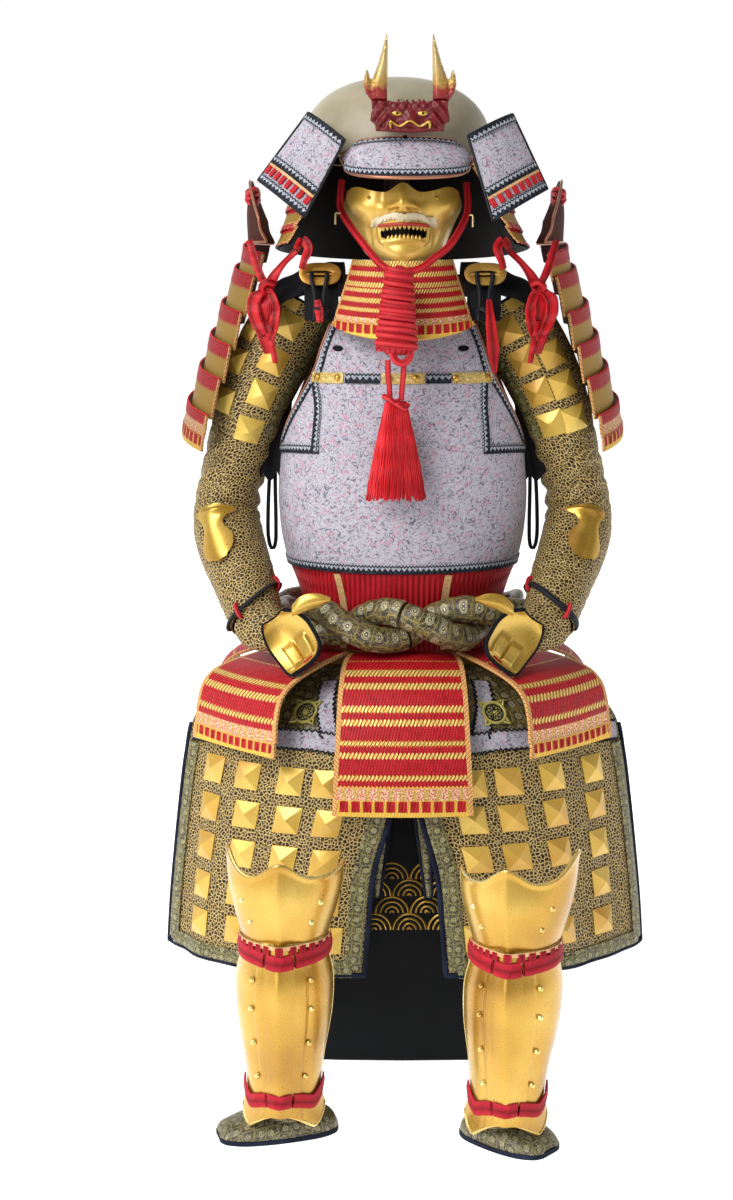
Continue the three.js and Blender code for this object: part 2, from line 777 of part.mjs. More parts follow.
function maskNet(across, up) {
  return steps(up).map((v) => {
    const row = rowAt(maskRows, v);
    return steps(across).map((u) => {
      const angle = radians(88) * (2 * u - 1);
      const bridge = Math.exp(-((angle / 0.2) ** 2));
      const depth = row.depth * Math.cos(angle) + row.nose * bridge;
      return point(row.halfWidth * Math.sin(angle), mask.faceY - depth, row.z + v * v * v * maskTop(angle));
    });
  });
}

const mouth = new THREE.CylinderGeometry(1, 1, 60, 16);
mouth.scale(mask.mouthHalfWidth, 1, mask.mouthHeight / 2).translate(0, mask.faceY - 85, mask.mouthZ);
add("mask", cut(wallSolid(maskNet(14, 9), plateWall), mouth), "goldPlate");

// ---------- helmet ----------
function bowlProfile(inset, segments) {
  return steps(segments).map((t) => {
    const angle = (Math.PI / 2) * (1 - t) + t * Math.asin((helmet.rim - helmet.centre) / helmet.rise);
    const out = Math.cos(angle) ** helmet.fullness;
    const up = Math.sign(Math.sin(angle)) * Math.abs(Math.sin(angle)) ** helmet.fullness;
    return new THREE.Vector2((1 - inset / helmet.halfWidth) * out, helmet.centre + (helmet.rise - inset) * up);
  });
}

const bowlOuter = bowlProfile(0, 6).map((p, index) => (index === 0 ? p.setX(0) : p));
const bowlInner = bowlProfile(hardWall, 6).map((p, index) => (index === 0 ? p.setX(0) : p));
const bowlGeometry = new THREE.LatheGeometry([...bowlInner, ...bowlOuter.reverse()], 20);
bowlGeometry.rotateX(Math.PI / 2).scale(helmet.halfWidth, helmet.halfDepth, 1).translate(helmet.shift, 0, 0);
add("helmet_bowl", bowlGeometry, "helmetLacquer");

const visorRows = table(
  ["halfWidth", "middleY", "edgeY", "middleZ", "edgeZ"],
  [89, -205, -148, 1297, 1318],
  [94, -192, -142, 1322, 1327],
  [88, -174, -140, 1344, 1335],
  [66, -160, -143, 1355, 1346]
);
const visorShift = 6;
add("visor", wallSolid(arcNet(visorRows, 10, 3, 66), 3).translate(visorShift, 0, 0), "greyDamask");

// The neck guard flares from the bowl's rim round the back and both sides.
const neckRows = table(
  ["z", "halfWidth", "depth", "openAngle"],
  [1216, 187, 200, 62],
  [1246, 174, 189, 57],
  [1280, 163, 177, 51],
  [1312, 154, 165, 46],
  [1334.5, 149, 157, 42]
);
const neckDroop = 28; // how much lower its back hangs than its front corners

function neckNet(around, up) {
  return steps(up).map((v) => {
    const row = rowAt(neckRows, v);
    return steps(around).map((u) => {
      const angle = radians(row.openAngle + (360 - 2 * row.openAngle) * u);
      const z = row.z - neckDroop * (1 - v) * 0.5 * (1 - Math.cos(angle));
      return point(row.halfWidth * Math.sin(angle) + helmet.shift * v, -row.depth * Math.cos(angle), z);
    });
  });
}

add("neck_guard", wallSolid(neckNet(16, 4), hardWall), "blackCloth");

// The turned-back wings either side of the visor.
const wingCorners = table(
  ["side", "topOuterX", "topOuterZ", "topInnerX", "topInnerZ", "lowInnerX", "lowInnerZ", "lowOuterX", "lowOuterZ"],
  [-1, 136, 1394, 82, 1352, 139, 1244, 208, 1298],
  [1, 158, 1392, 92, 1358, 127, 1239, 208, 1286]
);
const wingDepths = { topOuter: -104, topInner: -158, lowInner: -182, lowOuter: -122 };
const wing = { bulge: 10, thickness: 3.5 };

function wingNet(side, across, up) {
  const row = wingCorners.find((corners) => corners.side === side);
  const topOuter = point(row.topOuterX, wingDepths.topOuter, row.topOuterZ);
  const topInner = point(row.topInnerX, wingDepths.topInner, row.topInnerZ);
  const lowInner = point(row.lowInnerX, wingDepths.lowInner, row.lowInnerZ);
  const lowOuter = point(row.lowOuterX, wingDepths.lowOuter, row.lowOuterZ);
  const outward = topInner.clone().sub(lowOuter).cross(topOuter.clone().sub(lowInner)).normalize();
  outward.multiplyScalar(-Math.sign(outward.y));
  return steps(up).map((v) =>
    steps(across).map((w) => {
      const u = side < 0 ? w : 1 - w;
      const place = lowOuter.clone().lerp(lowInner, u).lerp(topOuter.clone().lerp(topInner, u), v);
      place.addScaledVector(outward, wing.bulge * 4 * u * (1 - u));
      place.x *= side;
      return place;
    })
  );
}

function wingSolid(side) {
  return wallSolid(wingNet(side, 6, 4), wing.thickness);
}

addPair("turned_wing", wingSolid, "greyDamask");

// ---------- crest ----------
const crest = { x: 10, y: -188, thickness: 15, hornThickness: 9, bottom: 1360 };

function polygon(corners) {
  return new THREE.Shape(corners.map(([x, z]) => new THREE.Vector2(x, z)));
}

function uprightPlate(shape, y, thickness) {
  const geometry = new THREE.ExtrudeGeometry(shape, { depth: thickness, bevelEnabled: false, curveSegments: 4 });
  return geometry.rotateX(Math.PI / 2).translate(crest.x, y + thickness, crest.bottom);
}

// One half of the beast's head, from its chin out and up to its brow.
const crestHalf = table(
  ["x", "z"],
  [0, 0],
  [48, 3],
  [49, 12],
  [56, 17],
  [53, 34],
  [54, 44],
  [30, 44],
  [22, 42],
  [0, 42]
);
const crestOutline = [
  ...crestHalf.map(({ x, z }) => [x, z]),
  ...crestHalf.slice(1, -1).reverse().map(({ x, z }) => [-x, z])
];
add("crest_head", uprightPlate(polygon(crestOutline), crest.y, crest.thickness), "crestLacquer");

// A blade horn with its small outer prong, from the inner foot round to the tip and down again.
const hornHalf = table(
  ["x", "z"],
  [32, 44.5],
  [54, 44.5],
  [62, 54],
  [65, 66],
  [64, 77],
  [60.5, 87],
  [58, 83],
  [56, 74],
  [52, 74],
  [50, 80],
  [44, 96],
  [37, 120],
  [32, 139],
  [31, 120]
);
addPair(
  "crest_horn",
  (side) => uprightPlate(polygon(hornHalf.map(({ x, z }) => [side * x, z])), crest.y + 3, crest.hornThickness),
  "goldPlate"
);

// ---------- chin cord, wound knot and tassel ----------
const chinCord = { diameter: 11 };
const chinPath = [
  [-89, -80, 1300],
  [-91, -88, 1263],
  [-83, -102, 1244],
  [-60, -134, 1212],
  [-30, -170, 1177],
  [-3, -184, 1167],
  [24, -177, 1172],
  [46, -162, 1188],
  [68, -138, 1206],
  [89, -100, 1240],
  [95, -86, 1263],
  [93, -78, 1296]
];
add("chin_cord", cord(chinPath, chinCord.diameter, { pitch: 2 }), "redSilk");

// The wound part of the chin cord as one body, leaning with the throat guard behind it.
const knotRows = table(
  ["down", "radius"],
  [0, 8],
  [0.03, 15],
  [0.2, 18],
  [0.45, 22],
  [0.7, 27],
  [0.92, 31],
  [1, 20]
);

function leaningRings(rows, top, bottom, flatness, count) {
  return rows.map(({ down, radius }) => {
    const centre = top.clone().lerp(bottom, down);
    return Array.from({ length: count }, (_, j) => {
      const angle = (j / count) * 2 * Math.PI;
      return point(centre.x + radius * Math.cos(angle), centre.y + radius * flatness * Math.sin(angle), centre.z);
    });
  });
}

const knotTop = point(knot.x + 4, knot.topY - 12, knot.top);
const knotBottom = point(knot.x, knot.bottomY, knot.bottom);
add("chin_knot", loftSolid(leaningRings(knotRows, knotTop, knotBottom, knot.flatness, 12)), "redSilk");

const strand = { diameter: 8, apart: 11 };
[-1, 1].forEach((side) => {
  const x = tassel.x + side * strand.apart;
  const path = [
    [x, -205, knot.bottom - 2],
    [x, -204, 1026],
    [x - side * 2, -197, 1004],
    [x - side * 3, -193, tassel.top + 2]
  ];
  add(`chin_strand_${side < 0 ? "left" : "right"}`, cord(path, strand.diameter, { pitch: 1.5 }), "redSilk");
});

const tasselRows = table(
  ["down", "radius"],
  [0, 13],
  [0.06, 15],
  [0.25, 21],
  [0.55, 30],
  [0.85, 39],
  [1, 43]
);
const tasselTop = point(tassel.x, tassel.y - 11, tassel.top);
const tasselBottom = point(tassel.x, tassel.y, tassel.bottom);
add("chin_tassel", loftSolid(leaningRings(tasselRows, tasselTop, tasselBottom, tassel.flatness, 12)), "redSilk");

// ---------- arm cords between cuirass and sleeve ----------
const armCord = { diameter: 6 };
addPair(
  "arm_cord",
  (side) =>
    cord(
      [
        [side * 202, 14, 884],
        [side * 206, 14, 840],
        [side * 208, 14, 780],
        [side * 206, 13, 755],
        [side * 201, 12, 746],
        [side * 196.5, 12, 756],
        [side * 195.5, 12, 785],
        [side * 196, 12, 840],
        [side * 196, 13, 885]
      ],
      armCord.diameter,
      { pitch: 3.4 }
    ),
  "blackCloth"
);

// ---------- shin guards and knee cups ----------
const shinRows = table(
  ["z", "halfWidth", "depth"],
  [24, 55, 52],
  [57, 49, 51],
  [106, 53, 57],
  [171, 63, 66],
  [223, 65, 68],
  [259, 59, 63],
  [289, 57, 61]
);
const kneeRows = table(
  ["z", "halfWidth", "depth"],
  [289.5, 57, 61],
  [321, 67, 68],
  [352, 75, 72],
  [379, 78, 72]
);
const shinSpread = 94;
const leanHeight = 375;

function shinNet(rows, leg, side, across, up, topWave, bottomWave) {
  return steps(up).map((v) => {
    const row = rowAt(rows, v);
    const lean = row.z / leanHeight;
    const turn = leg.ridgeLow + (leg.ridgeTop - leg.ridgeLow) * lean;
    return steps(across).map((u) => {
      const degrees = shinSpread * (2 * u - 1);
      const angle = radians(degrees + turn * Math.cos(radians(degrees)));
      const ridge = 4 * Math.max(0, 1 - Math.abs(degrees) / 16);
      const z = row.z + v * v * topWave(side * degrees) + (1 - v) * (1 - v) * bottomWave(degrees);
      const x = leg.x + leg.leanX * lean + row.halfWidth * Math.sin(angle);
      return point(x, leg.y - row.depth * Math.cos(angle) - ridge, z);
    });
  });
}

const noWave = () => 0;
const bump = (degrees, centre, width) => Math.exp(-(((degrees - centre) / width) ** 2));
const archWave = (degrees) => 24 * Math.max(0, Math.cos(radians(degrees * 1.7))) + 22 * bump(Math.abs(degrees), 94, 26);
const kneeWave = (degrees) => 34 * bump(degrees, 78, 26) + 22 * bump(degrees, 0, 18) + 7 * bump(degrees, -86, 28);

function shinGuard(leg, side) {
  return wallSolid(shinNet(shinRows, leg, side, 12, 6, noWave, archWave), plateWall);
}

function kneeCup(leg, side) {
  return wallSolid(shinNet(kneeRows, leg, side, 16, 4, kneeWave, noWave), plateWall);
}

add("shin_guard_left", shinGuard(legs.left, -1), "goldPlate");
add("shin_guard_right", shinGuard(legs.right, 1), "goldPlate");
add("knee_cup_left", kneeCup(legs.left, -1), "goldPlate");
add("knee_cup_right", kneeCup(legs.right, 1), "goldPlate");

// ---------- shoes ----------
const shoeRows = table(
  ["along", "halfWidth", "height"],
  [-76, 14, 13],
  [-68, 27, 24],
  [-44, 38, 33],
  [0, 43, 39],
  [36, 43, 33],
  [66, 39, 26],
  [88, 29, 19],
  [96, 17, 11]
);
const shoeSection = table(
  ["across", "rise"],
  [-1, 0],
  [-1, 0.3],
  [-0.7, 0.62],
  [-0.3, 1],
  [0.3, 1],
  [0.7, 0.62],
  [1, 0.3],
  [1, 0]
);
const shoe = { wall: 3, ankleRadius: 36, ankleTop: 84, sole: 4 };

function shoeLoft(length, inset, bottom) {
  const rings = shoeRows.map(({ along, halfWidth, height }, index) => {
    const end = index === 0 ? inset : index === shoeRows.length - 1 ? -inset : 0;
    const [w, h] = [halfWidth - inset, height - inset - bottom];
    return shoeSection.map(({ across, rise }) => point(across * w, -(along * length + end), bottom + rise * h));
  });
  return loftSolid(rings);
}

function shoeSolid(leg) {
  const ankle = (radius, bottom, top) =>
    new THREE.CylinderGeometry(radius, radius, top - bottom, 12)
      .rotateX(Math.PI / 2)
      .translate(0, 0, (bottom + top) / 2);
  const outer = joined(shoeLoft(leg.shoeLength, 0, 0), ankle(shoe.ankleRadius, 20, shoe.ankleTop));
  const inner = joined(
    shoeLoft(leg.shoeLength, shoe.wall, shoe.sole),
    ankle(shoe.ankleRadius - shoe.wall, 24, shoe.ankleTop + 10)
  );
  return cut(outer, inner).rotateZ(radians(leg.shoeTurn)).translate(leg.shoeX, leg.shoeY, 0);
}

add("shoe_left", shoeSolid(legs.left), "darkBrocade");
add("shoe_right", shoeSolid(legs.right), "darkBrocade");

// ---------- the part's frame: the middle of its underside is the origin ----------
armour.updateMatrixWorld(true);
const box = new THREE.Box3().setFromObject(armour);
const middle = box.getCenter(new THREE.Vector3());
armour.position.set(-middle.x, -middle.y, -box.min.z);

export default armour;
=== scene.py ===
# Samurai armour on its armour chest. Sizes are in millimetres in the armour's own frame and
# become metres in the part's frame on the way into a mesh. The armour faces -Y.
import math

import bpy
import numpy as np
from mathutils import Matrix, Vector


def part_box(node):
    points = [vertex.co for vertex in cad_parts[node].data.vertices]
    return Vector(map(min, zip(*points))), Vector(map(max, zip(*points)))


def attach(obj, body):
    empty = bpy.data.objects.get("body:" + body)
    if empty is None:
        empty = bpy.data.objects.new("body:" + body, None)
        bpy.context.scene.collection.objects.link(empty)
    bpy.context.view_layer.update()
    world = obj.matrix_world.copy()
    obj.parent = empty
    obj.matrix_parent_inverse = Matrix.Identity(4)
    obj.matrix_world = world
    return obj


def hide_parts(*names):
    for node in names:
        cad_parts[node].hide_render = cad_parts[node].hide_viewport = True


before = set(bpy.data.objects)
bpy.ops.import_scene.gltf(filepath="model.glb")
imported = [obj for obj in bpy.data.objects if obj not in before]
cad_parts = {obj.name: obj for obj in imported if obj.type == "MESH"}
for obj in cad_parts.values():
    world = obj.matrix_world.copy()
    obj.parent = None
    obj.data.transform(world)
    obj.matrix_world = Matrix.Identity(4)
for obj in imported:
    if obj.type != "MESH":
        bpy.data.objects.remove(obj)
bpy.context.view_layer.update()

bpy.ops.object.select_all(action="DESELECT")
random = np.random.default_rng(7)
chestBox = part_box("chest_body")
# armour frame to part frame
shift = np.array([500 * (chestBox[0][0] + chestBox[1][0]), 1000 * chestBox[1][1] - 220, 0])
up, front = np.array([0, 0, 1.0]), np.array([0, -1.0, 0])
bothSides = ((-1, "left", "Left"), (1, "right", "Right"))  # sign along x, node name, title
weldGap = 0.00005  # metres


# Numbers
def toMetres(points):
    return (np.asarray(points, float) + shift) / 1000


def rowsAt(rows, fraction):  # columns of a short table, on a smooth curve through its rows
    values = np.array(rows, float)
    place = np.clip(fraction, 0, 1) * (len(rows) - 1)
    first = np.minimum(np.floor(place).astype(int), len(rows) - 2)
    t = (place - first)[..., None]
    a, b, c, d = [values[np.clip(first + k, 0, len(rows) - 1)] for k in (-1, 0, 1, 2)]
    smooth = b + 0.5 * t * (c - a + t * (2 * a - 5 * b + 4 * c - d + t * (3 * (b - c) + d - a)))
    return [smooth[..., k] for k in range(values.shape[1])]


def curveThrough(places, count):  # evenly spaced points on a smooth curve through the places
    fine = np.stack(rowsAt(places, np.linspace(0, 1, count * 8)), axis=-1)
    walked = np.concatenate([[0], np.cumsum(np.linalg.norm(np.diff(fine, axis=0), axis=1))])
    even = np.linspace(0, walked[-1], count)
    return np.stack([np.interp(even, walked, fine[:, k]) for k in range(fine.shape[1])], axis=-1)


def unit(vectors):
    return vectors / np.maximum(np.linalg.norm(vectors, axis=-1, keepdims=True), 1e-9)


def bump(x, centre, width):
    return np.exp(-(((x - centre) / width) ** 2))


def smoothStep(x, low, high):
    t = np.clip((x - low) / (high - low), 0, 1)
    return t * t * (3 - 2 * t)


def slopes(surface, u, v):  # tangents and outward normal of a surface(u, v)
    e = 0.002
    along = surface(np.clip(u + e, 0, 1), v) - surface(np.clip(u - e, 0, 1), v)
    rise = surface(u, np.clip(v + e, 0, 1)) - surface(u, np.clip(v - e, 0, 1))
    return unit(along), unit(rise), unit(np.cross(along, rise))


# Meshes
def raised(surface, u, v, height):  # points of a surface moved outward
    return surface(u, v) + slopes(surface, u, v)[2] * height


def meshPiece(name, points, faces, material, uv=None, smooth=40):
    mesh = bpy.data.meshes.new(name)
    mesh.from_pydata(toMetres(points).tolist(), [], faces)
    piece = bpy.data.objects.new(name, mesh)
    bpy.context.collection.objects.link(piece)
    if uv is not None:  # one pair for each point, in metres
        layer = mesh.uv_layers.new(name="cloth")
        corner = np.empty(len(mesh.loops), int)
        mesh.loops.foreach_get("vertex_index", corner)
        layer.data.foreach_set("uv", np.asarray(uv, float)[corner].ravel())
    finishPiece(piece, material, smooth)
    return piece


def pickOnly(piece):
    bpy.ops.object.select_all(action="DESELECT")
    bpy.context.view_layer.objects.active = piece
    piece.select_set(True)


def editWhole(*steps):  # mesh operators, each with its settings, on all of the active piece
    bpy.ops.object.mode_set(mode="EDIT")
    for step, settings in steps:
        bpy.ops.mesh.select_all(action="SELECT")
        getattr(bpy.ops.mesh, step)(**settings)
    bpy.ops.object.mode_set(mode="OBJECT")


def finishPiece(piece, material, smooth=40):
    pickOnly(piece)
    if material is not None and not piece.data.materials:
        piece.data.materials.append(material)
    if smooth:
        bpy.ops.object.shade_smooth_by_angle(angle=math.radians(smooth))
    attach(piece, "root")
    return piece


def applyModifier(piece, kind, **settings):
    pickOnly(piece)
    modifier = piece.modifiers.new(kind, kind)
    for key, value in settings.items():
        setattr(modifier, key, value)
    bpy.ops.object.modifier_apply(modifier=modifier.name)


def stands(piece, slot, *nodes):  # the piece stands for CAD nodes, which are hidden
    if nodes:
        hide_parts(*nodes)
    return piece


# A curved panel: a grid laid on surface(u, v) with a wall that goes inward. It carries pattern coordinates,
# in metres: "cloth" from the middle of the top edge, "rim" from any edge and "aside" from a side edge.
def panel(name, surface, across, down, wall, material, inner=None, relief=None, ring=False, hole=None, smooth=50):
    bpy.ops.object.select_all(action="DESELECT")
    bpy.ops.mesh.primitive_grid_add(x_subdivisions=across, y_subdivisions=down, size=2)
    piece = bpy.context.object
    piece.name = name
    piece.data.name = name
    mesh = piece.data
    flat = np.empty(len(mesh.vertices) * 3)
    mesh.vertices.foreach_get("co", flat)
    flat = flat.reshape(-1, 3)
    u, v = (flat[:, 0] + 1) / 2, (flat[:, 1] + 1) / 2
    columns, rows = across + 1, down + 1
    net = surface(u, v)
    grid = net.reshape(rows, columns, 3)
    along = np.concatenate([np.zeros((rows, 1)), np.cumsum(np.linalg.norm(np.diff(grid, axis=1), axis=2), axis=1)],
                           axis=1)
    downward = np.linalg.norm(np.diff(grid, axis=0), axis=2)
    height = np.concatenate([np.zeros((1, columns)), np.cumsum(downward, axis=0)], axis=0)
    x = along - along[:, -1:] / 2
    y = height - height[-1:, :]
    aside = np.minimum(along, along[:, -1:] - along) if not ring else np.full_like(along, 1e4)
    rim = np.minimum(aside, np.minimum(height, height[-1:, :] - height))
    if relief is not None:
        net = net + slopes(surface, u, v)[2] * relief(u, v, x.ravel(), y.ravel())[:, None]
    mesh.vertices.foreach_set("co", toMetres(net).ravel())
    while mesh.uv_layers:
        mesh.uv_layers.remove(mesh.uv_layers[0])
    layer = mesh.uv_layers.new(name="cloth")
    corner = np.empty(len(mesh.loops), int)
    mesh.loops.foreach_get("vertex_index", corner)
    layer.data.foreach_set("uv", (np.stack([x.ravel(), y.ravel()], axis=1)[corner] / 1000).ravel())
    mesh.attributes.new("rim", "FLOAT", "POINT").data.foreach_set("value", rim.ravel() / 1000)
    mesh.attributes.new("aside", "FLOAT", "POINT").data.foreach_set("value", aside.ravel() / 1000)
    if hole is not None:  # faces whose middle is inside the hole are left out
        bpy.ops.object.mode_set(mode="EDIT")
        bpy.ops.mesh.select_all(action="DESELECT")
        bpy.ops.object.mode_set(mode="OBJECT")
        middle = np.array([[sum(u[i] for i in f.vertices) / 4,
                            sum(v[i] for i in f.vertices) / 4] for f in mesh.polygons])
        mesh.polygons.foreach_set("select", hole(middle[:, 0], middle[:, 1]))
        bpy.ops.object.mode_set(mode="EDIT")
        bpy.ops.mesh.select_mode(type="FACE")
        bpy.ops.mesh.delete(type="FACE")
        bpy.ops.object.mode_set(mode="OBJECT")
    mesh.materials.clear()
    mesh.materials.append(material)
    if ring:
        editWhole(("remove_doubles", {"threshold": weldGap}))
    if wall:
        if inner is not None:
            mesh.materials.append(inner)
        applyModifier(piece, "SOLIDIFY", thickness=wall / 1000, offset=-1, material_offset=1 if inner else 0,
                      material_offset_rim=0)
    return finishPiece(piece, None, smooth)


# A round or flat cord along points, with its pattern running along it: points, pattern coordinates and faces.
def tubeNet(points, radius, sides=10, closed=False, flat=1.0, sideAxis=None, square=1.0):
    points = np.asarray(points, float)
    count = len(points)
    radii = np.broadcast_to(np.asarray(radius, float), (count,))
    if closed:
        tangent = unit(np.roll(points, -1, 0) - np.roll(points, 1, 0))
    else:
        tangent = unit(np.gradient(points, axis=0))
    wide = np.empty_like(points)
    last = np.array([0.31, 0.2, 0.93]) if sideAxis is None else np.asarray(sideAxis, float)
    for i in range(count):  # carried along the line so that it does not twist
        last = last - tangent[i] * np.dot(last, tangent[i])
        last = last / max(np.linalg.norm(last), 1e-9)
        wide[i] = last
        if sideAxis is not None:
            last = np.asarray(sideAxis, float)
    tall = np.cross(tangent, wide)
    angle = np.arange(sides) / sides * 2 * math.pi
    across, high = (np.sign(f) * np.abs(f) ** square for f in (np.round(np.cos(angle), 6),
        np.round(np.sin(angle), 6)))
    ring = wide[:, None] * across[None, :, None] + tall[:, None] * (flat * high)[None, :, None]
    rings = points[:, None] + ring * radii[:, None, None]
    walked = np.concatenate([[0], np.cumsum(np.linalg.norm(np.diff(points, axis=0), axis=1))])
    turn = np.tile(np.abs(angle - math.pi) / math.pi, (count, 1)) * np.mean(radii) * math.pi
    uv = np.stack([turn.ravel(), np.repeat(walked, sides)], axis=1) / 1000
    faces = []
    spans = count if closed else count - 1
    for i in range(spans):
        for j in range(sides):
            a, b = i * sides + j, i * sides + (j + 1) % sides
            c, d = ((i + 1) % count) * sides + (j + 1) % sides, ((i + 1) % count) * sides + j
            faces.append((a, b, c, d))
    if not closed:
        faces.append(tuple(range(sides))[::-1])
        faces.append(tuple((count - 1) * sides + j for j in range(sides)))
    return rings.reshape(-1, 3), uv, faces


def tube(name, points, radius, material, sides=10, closed=False, flat=1.0, sideAxis=None, smooth=60, square=1.0):
    verts, uv, faces = tubeNet(points, radius, sides, closed, flat, sideAxis, square)
    return meshPiece(name, verts, faces, material, uv, smooth)


# many cords in one piece; radius may be one for each
def tubes(name, lines, radius, material, sides=8, **settings):
    verts, uvs, faces = [], [], []
    start = 0
    for k, line in enumerate(lines):
        v, uv, f = tubeNet(line, radius[k] if isinstance(radius, list) else radius, sides, **settings)
        verts.append(v)
        uvs.append(uv)
        faces += [tuple(i + start for i in face) for face in f]
        start += len(v)
    return meshPiece(name, np.concatenate(verts), faces, material, np.concatenate(uvs), 60)


def merged(name, parts):  # several finished pieces as one
    bpy.ops.object.select_all(action="DESELECT")
    for part in parts:
        part.select_set(True)
    bpy.context.view_layer.objects.active = parts[0]
    bpy.ops.object.join()
    piece = bpy.context.object
    piece.name = name
    piece.data.name = name
    return piece


def patch(surface, low, high, lift=0.0):  # part of a surface, from corner to corner, lifted off it
    def part(u, v):
        uu, vv = low[0] + (high[0] - low[0]) * u, low[1] + (high[1] - low[1]) * v
        return surface(uu, vv) + (slopes(surface, uu, vv)[2] * lift if lift else 0)
    return part


def scaleAt(surface, u, v):  # millimetres for one whole u and one whole v
    e = 0.01
    u, v = np.array([u]), np.array([v])
    low = [surface(np.clip(u - e, 0, 1), v), surface(u, np.clip(v - e, 0, 1))]
    high = [surface(np.clip(u + e, 0, 1), v), surface(u, np.clip(v + e, 0, 1))]
    spans = [np.clip(u + e, 0, 1) - np.clip(u - e, 0, 1), np.clip(v + e, 0, 1) - np.clip(v - e, 0, 1)]
    return [float(np.linalg.norm(h - l) / s[0]) for l, h, s in zip(low, high, spans)]


# Lays copies of one small modelled shape on a surface, each bent to it: x and y run along it, z stands off it.
def laidOn(name, pattern, surface, spots, material, lift=0.0):
    verts = np.array([v.co for v in pattern.data.vertices]) * 1000
    faces = [tuple(f.vertices) for f in pattern.data.polygons]
    bpy.data.objects.remove(pattern)
    points, allFaces = [], []
    for k, (u, v) in enumerate(spots):
        across, along = scaleAt(surface, u, v)
        uu, vv = np.clip(u + verts[:, 0] / across, 0, 1), np.clip(v + verts[:, 1] / along, 0, 1)
        points.append(raised(surface, uu, vv, (lift + verts[:, 2])[:, None]))
        allFaces += [tuple(i + k * len(verts) for i in face) for face in faces]
    return meshPiece(name, np.concatenate(points), allFaces, material,
                     np.tile(verts[:, :2] / 1000, (len(spots), 1)), 20)


def pyramidPattern(wide, tall, height):  # a pressed square boss with a low flat edge, in metres
    bpy.ops.object.select_all(action="DESELECT")
    bpy.ops.mesh.primitive_plane_add(size=1)
    boss = bpy.context.object
    boss.scale = (wide / 1000, tall / 1000, 1)
    bpy.ops.object.transform_apply(location=False, rotation=False, scale=True)
    bpy.ops.object.mode_set(mode="EDIT")
    bpy.ops.mesh.select_all(action="SELECT")
    bpy.ops.mesh.inset(thickness=0.0009)
    bpy.ops.mesh.poke(offset=height / 1000)
    bpy.ops.mesh.select_all(action="SELECT")
    bpy.ops.mesh.subdivide(number_cuts=2)
    bpy.ops.object.mode_set(mode="OBJECT")
    applyModifier(boss, "SOLIDIFY", thickness=0.0014, offset=1)
    return boss


# Copies one small modelled shape to many places, each an origin in millimetres and three axes.
def scattered(name, pattern, places, material):
    verts = np.array([v.co for v in pattern.data.vertices]) * 1000
    faces = [tuple(f.vertices) for f in pattern.data.polygons]
    points, allFaces = [], []
    for k, (origin, *axes) in enumerate(places):
        points.append(origin + verts @ np.stack(axes))
        allFaces += [tuple(i + k * len(verts) for i in face) for face in faces]
    bpy.data.objects.remove(pattern)
    return meshPiece(name, np.concatenate(points), allFaces, material,
                     np.tile(verts[:, :2] / 1000, (len(places), 1)), 30)


def placesOn(surface, spots, lift=0.0):  # frames on a surface for scattered()
    places = []
    for u, v in spots:
        uu, vv = np.array([u]), np.array([v])
        along, _, outward = [a[0] for a in slopes(surface, uu, vv)]
        places.append((surface(uu, vv)[0] + outward * lift, along, unit(np.cross(outward, along)), outward))
    return places


# A flat strip lying on a surface along (u, v) spots, with its pattern across and along it.
def strip(name, surface, spots, width, material, lift=0.8, thick=1.2, count=60, pad=0.0):
    path = curveThrough(spots, count) if len(spots) > 2 else np.linspace(spots[0], spots[1], count)
    u, v = path[:, 0], path[:, 1]
    middle = surface(u, v)
    outward = slopes(surface, u, v)[2]
    tangent = unit(np.gradient(middle, axis=0))
    sideways = unit(np.cross(tangent, outward))
    walked = np.concatenate([[0], np.cumsum(np.linalg.norm(np.diff(middle, axis=0), axis=1))])
    low, high = -width / 2, width / 2
    levels = [(low, lift), (low, lift + thick), (0.5 * (low + high), lift + thick + pad), (high, lift + thick),
              (high, lift)]
    verts = np.stack([middle + sideways * s + outward * h for s, h in levels], axis=1).reshape(-1, 3)
    uv = np.array([[s, w] for w in walked for s, _ in levels]) / 1000
    n = len(levels)
    faces = [(i * n + j, i * n + (j + 1) % n, (i + 1) * n + (j + 1) % n,
              (i + 1) * n + j) for i in range(count - 1) for j in range(n)]
    faces.append(tuple(range(n))[::-1])
    faces.append(tuple((count - 1) * n + j for j in range(n)))
    piece = meshPiece(name, verts, faces, material, uv, 30)
    fixNormals(piece)
    return piece


def fixNormals(piece):
    pickOnly(piece)
    editWhole(("normals_make_consistent", {"inside": False}))


# Materials
def linear(code):
    channels = [int(code[i : i + 2], 16) / 255 for i in (1, 3, 5)]
    return [c / 12.92 if c <= 0.04045 else ((c + 0.055) / 1.055) ** 2.4 for c in channels] + [1.0]


def addNode(tree, kind, settings=(), links=()):
    node = tree.nodes.new("ShaderNode" + kind)
    for key, value in dict(settings).items():
        setattr(node, key, value)
    for key, value in dict(links).items():
        socket = node.inputs[key]
        if isinstance(value, bpy.types.NodeSocket):
            tree.links.new(value, socket)
        elif isinstance(value, str):
            socket.default_value = linear(value)
        else:
            socket.default_value = value
    return node


def maths(tree, operation, a, b=0.0):
    return addNode(tree, "Math", {"operation": operation}, {0: a, 1: b}).outputs[0]


def times(tree, a, b):
    return maths(tree, "MULTIPLY", a, b)


def plus(tree, a, b):
    return maths(tree, "ADD", a, b)


def mixed(tree, amount, a, b, blend="MIX"):
    return addNode(tree, "Mix", {"data_type": "RGBA", "blend_type": blend}, {0: amount, 6: a, 7: b}).outputs[2]


